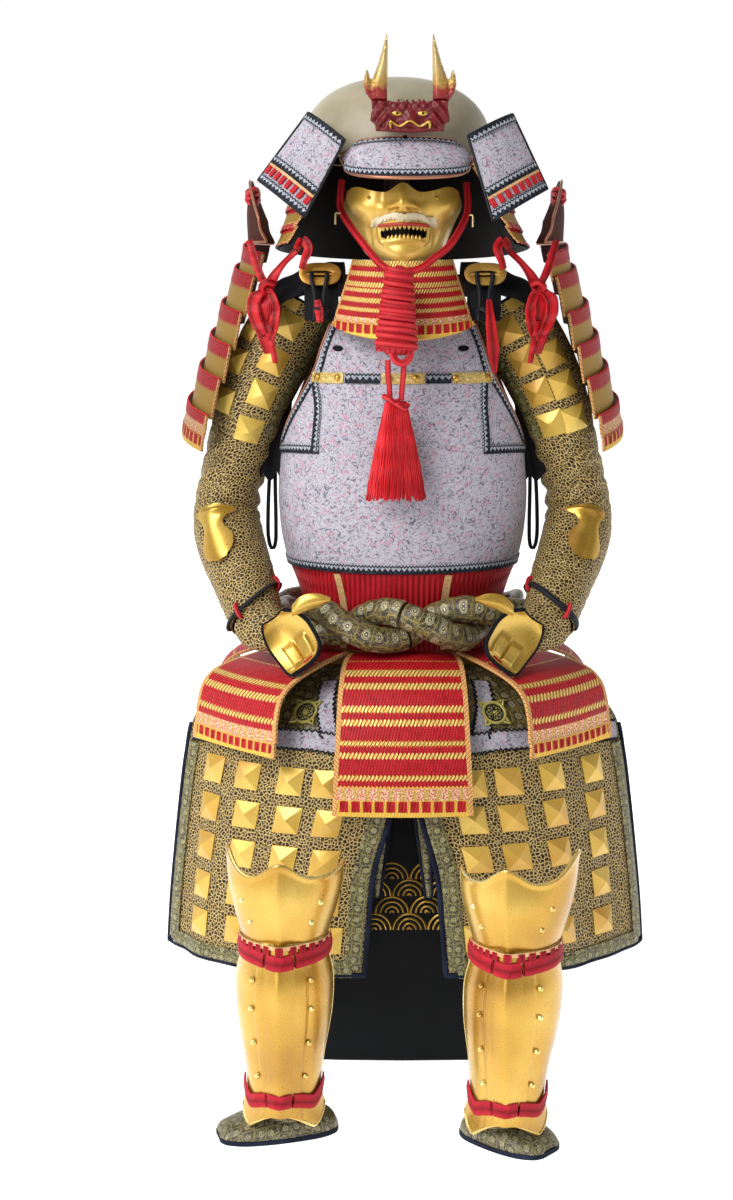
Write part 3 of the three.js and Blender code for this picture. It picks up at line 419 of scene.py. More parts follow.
def ramp(tree, value, stops, steps=False):  # stops: (position, colour or grey)
    node = addNode(tree, "ValToRGB", {}, {0: value})
    scale = node.color_ramp
    scale.interpolation = "CONSTANT" if steps else "LINEAR"
    while len(scale.elements) < len(stops):
        scale.elements.new(0.5)
    for element, (position, _) in zip(scale.elements, stops):
        element.position = position
    for element, (_, colour) in zip(scale.elements, stops):
        element.color = linear(colour) if isinstance(colour, str) else (colour, colour, colour, 1)
    return node.outputs[0]


def coordinates(tree, kind="cloth"):
    if kind == "object":
        return addNode(tree, "TexCoord").outputs["Object"]
    return addNode(tree, "UVMap", {"uv_map": kind}).outputs[0]


def noise(tree, where, size, detail=2.0, rough=0.5, warp=0.0):  # size: millimetres across one blotch
    links = {"Vector": where, "Scale": 1000 / size, "Detail": detail, "Roughness": rough, "Distortion": warp}
    return addNode(tree, "TexNoise", {}, links).outputs["Fac"]


def cells(tree, where, size, feature="F1", randomness=1.0):  # size: millimetres across one cell
    links = {"Vector": where, "Scale": 1000 / size, "Randomness": randomness}
    settings = {"feature": feature, "voronoi_dimensions": "2D"}
    return addNode(tree, "TexVoronoi", settings, links).outputs["Distance"]


def newMaterial(name):
    material = bpy.data.materials.new(name)
    material.use_nodes = True
    tree = material.node_tree
    return material, tree, tree.nodes["Principled BSDF"]


def dress(tree, shader, colour, roughness, metallic=0.0, height=None, relief=0.5, fixed=()):
    for socket, value in (("Base Color", colour), ("Roughness", roughness), ("Metallic", metallic)):
        if isinstance(value, bpy.types.NodeSocket):
            tree.links.new(value, shader.inputs[socket])
        else:
            shader.inputs[socket].default_value = linear(value) if isinstance(value, str) else value
    if height is not None:  # height is 0 to 1, relief its real depth in millimetres
        bumpNode = addNode(tree, "Bump", {}, {"Strength": 1.0, "Distance": relief / 1000, "Height": height})
        tree.links.new(bumpNode.outputs[0], shader.inputs["Normal"])
    for key, value in dict(fixed).items():
        shader.inputs[key].default_value = value


# The armour's own surfaces: u runs across and v up, both 0 to 1
cuirass = {
    "front": [(731, 176, 150, 90), (777, 186, 153, 90), (835, 190, 154, 90), (889, 187, 152, 90),
              (935, 184, 149, 75),
              (983, 177, 144, 61), (1022, 169, 138, 52), (1060, 159, 130, 49), (1093, 149, 122, 46)],
    "back": [(731, 176, 128, 90), (777, 186, 132, 90), (835, 190, 134, 90), (889, 187, 132, 90),
             (935, 184, 130, 76),
             (983, 177, 127, 64), (1040, 166, 121, 56), (1112, 148, 112, 50)],
    "scoop": 14,
    "gap": 1.2,
}


def cuirassSurface(side):  # -1 the breast, 1 the back
    def surface(u, v):
        z, half, depth, edge = rowsAt(cuirass["front" if side < 0 else "back"], v)
        angle = np.radians(np.minimum(edge, 90)) * (2 * u - 1)
        scoop = cuirass["scoop"] * np.maximum(0, v - 0.8) * 5
        y = side * (depth * np.cos(angle) + cuirass["gap"] / 2)
        return np.stack([-side * half * np.sin(angle), y, z - scoop * np.cos(math.pi * (u - 0.5))], axis=-1)
    return surface


tasset = {
    "front": [(146, 612, 78), (184, 608, 86), (224, 595, 90), (260, 563, 93), (284, 505, 96), (291, 450, 99),
              (292, 400, 101)],
    "side": [(-12, 611, 60), (48, 602, 74), (108, 587, 88), (138, 565, 93), (149, 528, 95), (154, 480, 97)],
    # facing, waist out, reach, waist shift, hem shift, narrow, bow
    "places": {"front": (0, 0, 1, 0, 0, 1, 10), "front_left": (48, 166, 1, 12, 19, 1, 3),
               "front_right": (-48, 166, 1, 12, 19, 1, 3),
               "side_left": (97, 180, 0.74, 18, 6, 0.8, 8), "side_right": (-97, 180, 0.74, 18, 6, 0.8, 8),
               "back_left": (168, 146, 0.86, -52, -30, 0.86, 8),
               "back_right": (-168, 146, 0.86, -52, -30, 0.86, 8)},
}


def tassetSurface(name):
    facing, waistOut, reach, waistShift, hemShift, narrow, bow = tasset["places"][name]
    turn = math.radians(facing)
    outward = np.array([-math.sin(turn), -math.cos(turn), 0])
    lateral = np.array([math.cos(turn), -math.sin(turn), 0])

    def surface(u, v):
        out, z, half = rowsAt(tasset["front" if facing == 0 else "side"], 1 - v)
        s = 2 * u - 1
        slide = -np.sign(facing) * (hemShift + (waistShift - hemShift) * v)
        place = np.stack([0 * z, 0 * z, z - bow * 0.4 * s * s * v], axis=-1)
        place = place + outward * (waistOut + out * reach - bow * s * s)[..., None]
        return place + lateral * (s * half * narrow + slide)[..., None]
    return surface


thigh = {
    "rows": [(158, 56, 272, 262, 358, 108), (230, 50, 272, 252, 353, 107), (310, 42, 271, 238, 345, 105),
             (390, 20, 269, 222, 336, 102), (450, 12, 266, 206, 328, 98), (505, 12, 256, 188, 316, 92),
             (545, 12, 230, 164, 282, 80), (574, 12, 190, 134, 232, 66), (592, 12, 150, 106, 190, 54)],
    "shift": {-1: 0, 1: 7},
}


def thighSurface(side):  # u runs from the viewer's left to right
    def surface(u, v):
        z, inner, frontY, corner, outerX, outerY = rowsAt(thigh["rows"], v)
        t = 1 - u if side < 0 else u
        a, b, c = (1 - t) ** 2, 2 * t * (1 - t), t * t
        x = side * (a * inner + b * corner + c * outerX) + thigh["shift"][side]
        return np.stack([x, -(a + b) * frontY - c * outerY, z], axis=-1)
    return surface


sleeve = {
    "path": [(150, 4, 1124, 56, 58), (184, 4, 1066, 60, 62), (208, 2, 1022, 59, 61), (230, 0, 970, 55, 58),
             (247, 2, 915, 50, 54),
             (261, 6, 862, 48, 52), (270, 6, 815, 50, 52), (268, -8, 778, 53, 54), (256, -38, 744, 52, 52),
             (240, -74, 712, 48, 48), (226, -108, 680, 44, 44), (216, -132, 656, 41, 40)],
}


def sleeveSurface(side):  # u turns round the arm: 0 is the outer side, 0.25 the front; v runs down it
    def surface(u, v):
        x, y, z, across, deep = rowsAt(sleeve["path"], v)
        e = 0.004
        ahead, behind = rowsAt(sleeve["path"], np.clip(v + e, 0, 1)), rowsAt(sleeve["path"], np.clip(v - e, 0, 1))
        direction = unit(np.stack([side * (ahead[0] - behind[0]), ahead[1] - behind[1], ahead[2] - behind[2]],
                                  axis=-1))
        outer = -side * unit(np.cross(np.broadcast_to(np.array([0, 1.0, 0]), direction.shape), direction))
        frontward = side * np.cross(direction, outer)
        angle = 2 * math.pi * u
        centre = np.stack([side * x, y, z], axis=-1)
        return centre + outer * (across * np.cos(angle))[..., None] + frontward * (deep * np.sin(angle))[..., None]
    return surface


shoulder = {
    "rows": [(926, 337, 38, 96), (980, 319, 37, 95), (1035, 299, 37, 94), (1090, 279, 36, 92), (1145, 258, 35, 88),
             (1205, 233, 34, 82)],
    "board": [(0, 234, 33), (0.5, 235, 26), (1, 230, 18)],
    "out": {-1: 0, 1: 9},
    "middleY": 20,
}


def shoulderSurface(side):
    def surface(u, v):
        z, x, bow, half = rowsAt(shoulder["rows"], v)
        s = 1 - 2 * u
        z = z - 9 * (1 - v) * s * side
        return np.stack([side * (x + shoulder["out"][side] * v - bow * s * s),
                         shoulder["middleY"] - side * s * half, z], axis=-1)
    return surface


def boardSurface(side):
    def surface(u, v):
        _, x, bow = rowsAt(shoulder["board"], v)
        s = 1 - 2 * u
        height = 34 + 58 * np.cos(s * math.pi / 2)
        return np.stack([side * (x + shoulder["out"][side] - bow * s * s), shoulder["middleY"] - side * s * 80,
                         1212 + height * v], axis=-1)
    return surface


arcs = {  # rows of half-width, middle y, edge y, middle z, edge z; then spread, shift aside, squareness
    "throat": ([(103, -176, -128, 1071, 1091), (92, -160, -112, 1108, 1124), (81, -145, -98, 1146, 1158),
                (73, -134, -88, 1183, 1186)], 62, 0, 1.0),
    "visor": ([(89, -205, -148, 1297, 1318), (94, -192, -142, 1322, 1327), (88, -174, -140, 1344, 1335),
               (73, -160, -143, 1355, 1344)], 66, 6, 0.42),
}


def arcSurface(name):
    rows, spread, aside, square = arcs[name]
    widest = math.radians(spread)

    def surface(u, v):
        half, middleY, edgeY, middleZ, edgeZ = rowsAt(rows, v)
        angle = widest * (2 * u - 1)
        fall = (np.cos(angle) - math.cos(widest)) / (1 - math.cos(widest))
        x = half * np.sin(angle) / math.sin(widest) + aside
        return np.stack([x, edgeY + (middleY - edgeY) * fall,
                         edgeZ + (middleZ - edgeZ) * np.maximum(fall, 0) ** square], axis=-1)
    return surface


wings = {
    -1: {"topOuter": (-136, -104, 1394), "topInner": (-82, -158, 1352), "lowInner": (-139, -182, 1244),
         "lowOuter": (-208, -122, 1298)},
    1: {"topOuter": (158, -104, 1392), "topInner": (92, -158, 1358), "lowInner": (127, -182, 1239),
        "lowOuter": (208, -122, 1286)},
}


def wingSurface(side):
    corner = {key: np.array(value, float) for key, value in wings[side].items()}
    outward = unit(np.cross(corner["topInner"] - corner["lowOuter"], corner["topOuter"] - corner["lowInner"]))
    outward = -outward * np.sign(outward[1])

    def surface(u, v):
        t = (u if side < 0 else 1 - u)[..., None]
        low = corner["lowOuter"] * (1 - t) + corner["lowInner"] * t
        top = corner["topOuter"] * (1 - t) + corner["topInner"] * t
        return low * (1 - v[..., None]) + top * v[..., None] + outward * 40 * t * (1 - t)
    return surface


mask = {
    "rows": [(1178, 34, 66, 0), (1192, 52, 78, 0), (1208, 63, 82, 0), (1226, 71, 82, 2), (1244, 78, 82, 12),
             (1258, 84, 82, 22),
             (1270, 87, 81, 16), (1280, 86, 80, 9)],
    "faceY": -60,
}


def maskSurface(u, v):
    z, half, depth, nose = rowsAt(mask["rows"], v)
    angle = math.radians(88) * (2 * u - 1)
    degrees = np.abs(np.degrees(angle))
    top = 12 * bump(degrees, 0, 11) + 9 * bump(degrees, 52, 20) - 12 * np.maximum(0, (degrees - 70) / 20)
    out = depth * np.cos(angle) + nose * bump(angle, 0, 0.2)
    return np.stack([half * np.sin(angle), mask["faceY"] - out, z + v**3 * top], axis=-1)


helmet = {"halfWidth": 141, "halfDepth": 148, "rise": 103, "centre": 1350, "rim": 1336, "shift": -9,
          "fullness": 0.88}


def bowlSurface(u, v):  # v runs from the rim to the crown
    low = math.asin((helmet["rim"] - helmet["centre"]) / helmet["rise"])
    angle = low + (math.pi / 2 - low) * v
    out = np.maximum(np.cos(angle), 0) ** helmet["fullness"]
    rise = np.sign(np.sin(angle)) * np.abs(np.sin(angle)) ** helmet["fullness"]
    turn = 2 * math.pi * u
    x = helmet["halfWidth"] * out * np.sin(turn) + helmet["shift"]
    return np.stack([x, -helmet["halfDepth"] * out * np.cos(turn), helmet["centre"] + helmet["rise"] * rise],
                    axis=-1)


neck = {"rows": [(1216, 187, 200, 62), (1246, 174, 189, 57), (1280, 163, 177, 51), (1312, 154, 165, 46),
                 (1334.5, 149, 157, 42)], "droop": 28}


def neckSurface(u, v):
    z, half, depth, opening = rowsAt(neck["rows"], v)
    angle = np.radians(opening + (360 - 2 * opening) * u)
    z = z - neck["droop"] * (1 - v) * 0.5 * (1 - np.cos(angle))
    return np.stack([half * np.sin(angle) + helmet["shift"] * v, -depth * np.cos(angle), z], axis=-1)


waist = [(611, 156, 136), (640, 151, 130), (668, 152, 131), (700, 161, 139), (728, 172, 147)]


def waistSurface(u, v):  # u = 0 and 1 meet at the back
    z, half, depth = rowsAt(waist, v)
    return np.stack([-half * np.sin(2 * math.pi * u), depth * np.cos(2 * math.pi * u), z], axis=-1)


legs = {
    -1: {"x": -163, "y": -462, "leanX": 5, "low": -3, "top": -3, "shoe": (-163, -452), "turn": -75, "length": 0.96},
    1: {"x": 138, "y": -490, "leanX": 17, "low": -4, "top": -16, "shoe": (137, -480), "turn": 50, "length": 0.82},
}
shin = {
    "guard": [(24, 55, 52), (57, 49, 51), (106, 53, 57), (171, 63, 66), (223, 65, 68), (259, 59, 63),
              (289, 57, 61)],
    "knee": [(289.5, 57, 61), (321, 67, 68), (352, 75, 72), (379, 78, 72)],
    "spread": 94,
}


def shinSurface(side, part):
    leg = legs[side]

    def surface(u, v):
        z, half, depth = rowsAt(shin[part], v)
        lean = z / 375
        turn = leg["low"] + (leg["top"] - leg["low"]) * lean
        degrees = shin["spread"] * (2 * u - 1)
        angle = np.radians(degrees + turn * np.cos(np.radians(degrees)))
        ridge = 4 * np.maximum(0, 1 - np.abs(degrees) / 16)
        x = leg["x"] + leg["leanX"] * lean + half * np.sin(angle)
        y = leg["y"] - depth * np.cos(angle) - ridge
        if part == "knee":
            d = side * degrees
            z = z + v * v * (34 * bump(d, 78, 26) + 22 * bump(d, 0, 18) + 7 * bump(d, -86, 28))
        else:
            z = z + (1 - v) ** 2 * (24 * np.maximum(0,
                np.cos(np.radians(degrees * 1.7))) + 22 * bump(np.abs(degrees), 94, 26))
        return np.stack([x, y, z], axis=-1)
    return surface


# Finishes
def split(tree, vector):
    node = addNode(tree, "SeparateXYZ", {}, {0: vector})
    return node.outputs[0], node.outputs[1], node.outputs[2]


def clothXY(tree):  # millimetres across and along the piece's own cloth
    x, y, _ = split(tree, coordinates(tree))
    return times(tree, x, 1000.0), times(tree, y, 1000.0)


def fromEdge(tree, name="rim"):  # millimetres
    value = addNode(tree, "Attribute", {"attribute_name": name}).outputs["Fac"]
    return times(tree, value, 1000.0)


def zigzag(tree, x, pitch, height):  # a triangle wave, from 0 to height
    return times(tree, maths(tree, "PINGPONG", x, pitch / 2), 2 * height / pitch)


def plait(tree, x, y, pitch, twist):  # one braided cord every pitch: height 0 to 1, and its V-shaped strands
    crest = times(tree, maths(tree, "PINGPONG", x, pitch / 2), 2 / pitch)
    rounded = maths(tree, "SINE", times(tree, crest, math.pi / 2))
    strands = maths(tree, "PINGPONG", plus(tree, y, times(tree, crest, pitch * 0.4)), twist / 2)
    return rounded, times(tree, strands, 2 / twist)


def giltSheet(name, base="#c89c3a", deep="#a97c2a", bright="#dab858", rough=0.3, beaten=0.05, metal=0.7):
    # gold lacquer on beaten sheet: a soft satin gloss, faintly mottled
    material, tree, shader = newMaterial(name)
    where = coordinates(tree, "object")
    blotch = noise(tree, where, 110, 2, 0.5)
    fine = noise(tree, where, 3, 3, 0.6)
    colour = ramp(tree, blotch, [(0.3, deep), (0.5, base), (0.72, bright)])
    colour = mixed(tree, ramp(tree, fine, [(0.4, 0.0), (0.8, 0.3)]), colour, deep)
    roughness = ramp(tree, fine, [(0.3, rough - 0.05), (0.7, rough + 0.08)])
    height = noise(tree, where, 9, 3, 0.6)
    dress(tree, shader, colour, roughness, metal, height, beaten, {"Coat Weight": 0.4, "Coat Roughness": 0.15})
    return material


def lacqueredWood(name, colour, paintedSheen, rough, worn, size=40, shine=0.5):
    # brushed lacquer over wood: deep gloss, faint brush drag with a painted sheen as a lighter tone along it, a little
    # dust and wear
    material, tree, shader = newMaterial(name)
    where = coordinates(tree, "object")
    drag = noise(tree, where, size, 4, 0.6)
    # painted sheen: the lighter tone laid along the brush drag
    tint = ramp(tree, drag, [(0.3, colour), (0.7, paintedSheen)])
    tint = mixed(tree, ramp(tree, noise(tree, where, 2.5, 2, 0.6), [(0.62, 0.0), (0.8, 0.5)]), tint, worn)
    dress(tree, shader, tint, ramp(tree, drag, [(0.3, rough), (0.7, rough + 0.12)]), 0.0, drag, 0.25,
          {"Specular IOR Level": shine})
    return material


def braidedSilk(name, base, deep, bright, pitch=5.0, twist=3.0, rough=0.55):
    # flat braided silk: V-shaped strands side by side with a dull sheen, painted darker between the cords and lighter
    # on their crests as painted shade and highlight
    material, tree, shader = newMaterial(name)
    x, y = clothXY(tree)
    crest, strands = plait(tree, x, y, pitch, twist)
    # painted shade and highlight: the colour runs from the deep colour between the cords to the bright one on their
    # crests
    shade = times(tree, crest, plus(tree, times(tree, strands, 0.35), 0.65))
    colour = ramp(tree, shade, [(0.05, deep), (0.55, base), (1.0, bright)])
    colour = mixed(tree, ramp(tree, noise(tree, coordinates(tree, "object"), 25, 2), [(0.35, 0.0), (0.75, 0.35)]),
                   colour, deep)
    dress(tree, shader, colour, rough, 0.0, shade, 0.9, {"Specular IOR Level": 0.25})
    return material


goldLine, redLace, patternBand, tabRow, hemEdge, plainGold = range(6)  # the kinds of band on a lame
bandColours = {goldLine: "#e9bf4e", redLace: "#b8101b", patternBand: "#e2a860", tabRow: "#e3b04a",
               hemEdge: "#f0c455", plainGold: "#b8913f"}


def lacedLames(name, length, bands, pitch=3.8, tab=16.8, edge=7.0, zig=1.7, paintedShadeFactor=1.0):
    # silk lacing over gilt lames, painted darker between the plaited cords and lighter on their crests: bands are
    # (millimetres from the top, kind)
    gapShare = 1 - 0.74  # of the pitch of the tabs
    material, tree, shader = newMaterial(name)
    x, y = clothXY(tree)
    down = times(tree, y, -1.0)
    zag = maths(tree, "SUBTRACT", zigzag(tree, x, pitch * 1.3, 2 * zig), zig)
    place = maths(tree, "DIVIDE", plus(tree, down, zag), float(length))
    level = maths(tree, "DIVIDE", down, float(length))

    def byKind(where, values):
        stops = []
        for start, kind in bands:
            value = values[kind]
            if not stops or stops[-1][1] != value:
                stops.append((max(0.0, start / length), value))
        return ramp(tree, where, stops, steps=True)

    def isKind(where, *kinds):
        return byKind(where, {k: 1.0 if k in kinds else 0.0 for k in bandColours})

    slanted = plus(tree, x, times(tree, down, 0.22))
    crest, strands = plait(tree, slanted, y, pitch, pitch * 0.9)
    uneven = noise(tree, coordinates(tree, "object"), 9, 2)
    silk = times(tree, plus(tree, times(tree, crest, 0.65), 0.35), plus(tree, times(tree, strands, 0.3), 0.7))
    silk = times(tree, silk, plus(tree, 0.55, uneven))
    # painted shade and highlight: the lacing is darker between its plaited cords and lighter on their crests
    lace = ramp(tree, silk, [(0.0, "#3c0305"), (0.3, "#7c070e"), (0.65, "#a90e18"), (1.0, "#c4202a")])
    colour = byKind(place, bandColours)
    bead = zigzag(tree, plus(tree, x, times(tree, down, 0.5)), pitch * 1.3, 1.0)
    isLine = isKind(place, goldLine)
    colour = mixed(tree, isLine, colour, ramp(tree, bead, [(0.05, "#8a4418"), (0.35, "#d9a53c"), (0.8, "#f6df8e")]))
    isLace = isKind(place, redLace)
    # painted shade: the other bands are darkened between the plaits
    colour = mixed(tree, isLace, mixed(tree, 1.0, colour, ramp(tree, crest, [(0.0, 0.62), (0.6, 1.0)]),
        "MULTIPLY"), lace)
    isPattern = isKind(level, patternBand)
    square = maths(tree, "GREATER_THAN", maths(tree, "PINGPONG", x, tab / 2), tab * 0.2)
    thread = noise(tree, coordinates(tree), 2.6, 2)
    sprig = mixed(tree, square, ramp(tree, thread, [(0.42, "#b98a40"), (0.6, "#e6c680")]),
                  ramp(tree, thread, [(0.4, "#c9606a"), (0.5, "#e0a07c"), (0.62, "#f0dcb4")]))
    colour = mixed(tree, isPattern, colour, sprig)
    isTab = isKind(level, tabRow)
    inTab = maths(tree, "GREATER_THAN", maths(tree, "PINGPONG", plus(tree, x, tab / 2), tab / 2),
                  tab / 2 * gapShare)
    tabMask = times(tree, isTab, inTab)
    colour = mixed(tree, tabMask, colour, lace)
    side = fromEdge(tree, "aside")
    inEdge = maths(tree, "LESS_THAN", side, edge)
    plaited = zigzag(tree, plus(tree, y, side), 6.5, 1.0)
    edgeColour = ramp(tree, plaited, [(0.1, "#a8632c"), (0.4, "#dba648"), (0.62, "#f0d488"), (0.85, "#d9806a")])
    # painted shade: the colour is multiplied darker by the shade factor, and the metal below likewise
    colour = mixed(tree, 1.0, mixed(tree, inEdge, colour, edgeColour), (paintedShadeFactor, paintedShadeFactor, paintedShadeFactor, 1), "MULTIPLY")
    metal = maths(tree, "SUBTRACT", 1.0, maths(tree, "MAXIMUM", isLace, tabMask))
    metal = times(tree, times(tree, metal, 0.45 * paintedShadeFactor), maths(tree, "SUBTRACT", 1.0, inEdge))
    height = plus(tree, times(tree, silk, 0.6), times(tree, plaited, times(tree, inEdge, 0.5)))
    dress(tree, shader, colour, 0.5, metal, height, 1.1, {"Specular IOR Level": 0.25})
    return material


def figuredDamask(name):
    # pale grey damask: small curling darker figure, a scatter of pink threads
    base, dark, rose = "#aeaab4", "#5c5865", "#c48495"
    material, tree, shader = newMaterial(name)
    where = coordinates(tree)
    curl = noise(tree, where, 9.0, 3, 0.62, 2.4)
    fine = noise(tree, where, 2.6, 2, 0.6, 0.6)
    figure = ramp(tree, curl, [(0.34, dark), (0.42, "#8a8693"), (0.47, base), (0.58, "#bfbbc5"), (0.64, base),
                               (0.72, "#7f7b88")])
    figure = mixed(tree, ramp(tree, fine, [(0.33, 0.55), (0.46, 0.0)]), figure, "#6c6875")
    figure = mixed(tree, ramp(tree, fine, [(0.6, 0.0), (0.7, 0.5)]), figure, "#c9c5cf")
    specks = ramp(tree, cells(tree, where, 11), [(0.05, 1.0), (0.36, 0.0)])
    chosen = ramp(tree, noise(tree, where, 26, 1), [(0.47, 0.0), (0.56, 0.75)])
    figure = mixed(tree, times(tree, specks, chosen), figure, rose)
    dress(tree, shader, figure, 0.75, 0.0, fine, 0.35, {"Specular IOR Level": 0.25})
    return material


def zigzagBraid(name, width=13.0, pitch=8.0, pale="#bcc2ca", dark="#101218"):
    # black and white figured braid: a zigzag line inside, pale teeth, a black edge outside
    material, tree, shader = newMaterial(name)
    x, y = clothXY(tree)
    place = plus(tree, maths(tree, "DIVIDE", x, width), 0.5)
    line = times(tree, zigzag(tree, y, pitch * 0.62, 1.0), 0.2)
    line = maths(tree, "LESS_THAN", maths(tree, "ABSOLUTE", maths(tree, "SUBTRACT",
        maths(tree, "SUBTRACT", place, 0.05), line)), 0.1)
    teeth = times(tree, zigzag(tree, y, pitch, 1.0), 0.36)
    edge = maths(tree, "GREATER_THAN", place, plus(tree, teeth, 0.32))
    blotch = noise(tree, coordinates(tree, "object"), 4, 2)
    mask = maths(tree, "MAXIMUM", line, edge)
    colour = mixed(tree, mask, ramp(tree, blotch, [(0.3, pale), (0.62, "#8f939d"), (0.75, "#c9c4cc")]),
                   ramp(tree, blotch, [(0.4, dark), (0.75, "#343843")]))
    dress(tree, shader, colour, 0.7, 0.0, mask, 0.3, {"Specular IOR Level": 0.2})
    return material


def netBrocade(name):
    # gold net over dark cloth: an irregular mesh of raised gold thread round small dark cells, each thread painted
    # with a highlight along its middle and painted shade on its flanks
    cell, hollow = 5.4, "#140b06"
    netDarkToneAndPaintedShade, net, glint = "#6b5024", "#a3854a", "#d6c58c"
    material, tree, shader = newMaterial(name)
    where = coordinates(tree)
    warp = addNode(tree, "TexNoise", {}, {"Vector": where, "Scale": 1000 / 12, "Detail": 1.0}).outputs["Color"]
    moved = addNode(tree, "VectorMath", {"operation": "MULTIPLY_ADD"},
                    {0: warp, 1: (0.004, 0.004, 0.0), 2: where}).outputs[0]
    gap = cells(tree, moved, cell, "DISTANCE_TO_EDGE")
    big = noise(tree, where, 18, 2)
    gap = times(tree, gap, plus(tree, 0.62, times(tree, big, 0.76)))
    thread = ramp(tree, gap, [(0.0, 1.0), (0.1, 0.75), (0.19, 0.0)])
    strand = noise(tree, where, 2.0, 2)
    # painted highlight along the middle of each thread and painted shade on its flanks, mixed with random tone from
    # the strand noise
    gold = ramp(tree, plus(tree, times(tree, thread, 0.45), times(tree, strand, 0.75)),
                [(0.42, netDarkToneAndPaintedShade), (0.66, net), (0.9, glint)])
    under = ramp(tree, big, [(0.4, hollow), (0.7, "#3c2812")])
    colour = mixed(tree, ramp(tree, gap, [(0.18, 1.0), (0.25, 0.0)]), under, gold)
    dress(tree, shader, colour, 0.5, times(tree, thread, 0.3), thread, 0.7, {"Specular IOR Level": 0.3})
    return material


def figuredBrocade(name, ground="#1c1513", groundLight="#473b37", gold="#a3924a", pale="#f2ecc6", size=20.0):
    # dark silk brocade: honeycomb of gold lines with a round flower in each cell
    material, tree, shader = newMaterial(name)
    where = coordinates(tree)
    edge = cells(tree, where, size, "DISTANCE_TO_EDGE", 0.35)
    heart = cells(tree, where, size, "F1", 0.35)
    weave = noise(tree, where, 2.0, 3, 0.65)
    shade = ramp(tree, noise(tree, where, 30, 2), [(0.35, ground), (0.65, groundLight)])
    lattice = ramp(tree, edge, [(0.02, 1.0), (0.045, 0.0), (0.085, 0.0), (0.1, 0.55), (0.115, 0.0)])
    flower = ramp(tree, heart, [(0.04, 1.0), (0.07, 0.0), (0.12, 0.15), (0.16, 1.0), (0.2, 0.1), (0.24, 0.85),
                                (0.28, 0.0)])
    figure = times(tree, maths(tree, "MAXIMUM", lattice, flower), ramp(tree, weave, [(0.38, 0.25), (0.55, 1.0)]))
    petals = ramp(tree, noise(tree, where, 5, 3, 0.6, 1.2), [(0.51, 0.0), (0.54, 0.9), (0.56, 0.9), (0.59, 0.0)])
    colour = mixed(tree, petals, shade, gold)
    colour = mixed(tree, figure, colour, mixed(tree, flower, gold, pale))
    dress(tree, shader, colour, 0.36, times(tree, figure, 0.4), plus(tree, weave, figure), 0.35,
          {"Specular IOR Level": 0.6})
    return material


def plainCloth(name, colour, light, rough=0.85, thread=1.2):
    # plain woven cotton: fine over and under threads
    material, tree, shader = newMaterial(name)
    x, y = clothXY(tree)
    weave = times(tree, maths(tree, "SINE", times(tree, x, math.pi / thread)),
                  maths(tree, "SINE", times(tree, y, math.pi / thread)))
    tint = ramp(tree, noise(tree, coordinates(tree, "object"), 30, 3), [(0.3, colour), (0.75, light)])
    dress(tree, shader, tint, rough, 0.0, weave, 0.2, {"Specular IOR Level": 0.15})
    return material


giltPlate = giltSheet("giltLacquerOnBeatenSheet")
giltMask = giltSheet("giltLacquerOnMask", "#dbb24c", "#c59636", "#ebd07a", 0.4, metal=0.45)
giltBoss = giltSheet("giltLeatherBoss", "#d8b04a", "#c4923a", "#e4c45c", 0.42, beaten=0.45, metal=0.4)
antiqueGold = giltSheet("giltLameReverse", "#8a662c", "#6f4f20", "#a37d3a", 0.45)
copperRim = giltSheet("copperRoundedRim", "#a86f52", "#7d4c36", "#cf9474", 0.38)
blackLacquer = lacqueredWood("blackLacquerOnWood", "#050608", "#0a0c0e", 0.4, "#101214", shine=0.1)
brownLacquer = lacqueredWood("brownLacquerOnIron", "#34140c", "#4a2015", 0.6, "#5a2d1e", shine=0.1)
creamLacquer = lacqueredWood("creamLacquerOnIron", "#938a72", "#a99f88", 0.38, "#b0a790", 60, 0.35)
crestLacquer = lacqueredWood("redLacquerOnCarvedWood", "#560a0f", "#771318", 0.34, "#8f2228", 12, 0.4)
darkInside = lacqueredWood("darkLacquerInside", "#0b0705", "#140d08", 0.55, "#1c120a", 30, 0.12)
standWood = lacqueredWood("stainedWoodStand", "#33241a", "#46332a", 0.55, "#5a4436", 25)
redSilk = braidedSilk("redBraidedSilkCord", "#bd1520", "#850a12", "#d02c36", 8.0, 4.0)
knotSilk = braidedSilk("redKnotSilkCord", "#c8202a", "#8e1017", "#d83c45", 9.0, 4.0)
tieSilk = braidedSilk("pinkRedTieCord", "#c81a28", "#7d0c14", "#de4550", 6.0, 3.0)
tasselSilk = braidedSilk("redTasselThread", "#c80f1a", "#78070c", "#de3038", 2.4, 40.0, 0.5)
blackCord = braidedSilk("blackBraidedCord", "#17181c", "#050506", "#3a3c44", 5.0, 3.0, 0.6)
greyDamask = figuredDamask("paleGreyDamask")
zigzagTrim = zigzagBraid("blackAndWhiteBraid")
goldNet = netBrocade("goldNetOnDarkCloth")
sashBrocade = figuredBrocade("darkSashBrocade")
shoeBrocade = figuredBrocade("darkShoeBrocade", "#211c18", "#40382b", "#a09660", "#dad4ac", 16)
trimBrocade = figuredBrocade("goldFlowerTrimBrocade", "#1d1815", "#3a322b", "#a2984e", "#e2deaa", 15)
blackCloth = plainCloth("blackCottonLining", "#0e0e10", "#1c1c20")
navyCloth = plainCloth("navyCottonPiping", "#121724", "#252c40")
blackStrap = plainCloth("blackWovenStrap", "#0c0d0e", "#1d1f22", 0.6, 2.0)
goldTape = figuredBrocade("goldFlowerTape", "#8a6a2c", "#cfa94c", "#f0d98a", "#f4ecc8", 11)
creamHair = plainCloth("creamMoustacheHair", "#cfc2a0", "#e6dcc2", 0.8, 1.6)
redPaint = lacqueredWood("redLipPaint", "#9c2a1c", "#b53a26", 0.4, "#b8402c", 20)
paleMetal = giltSheet("paleGoldHook", "#e3cf8f", "#b89a55", "#f5e9b8", 0.3)
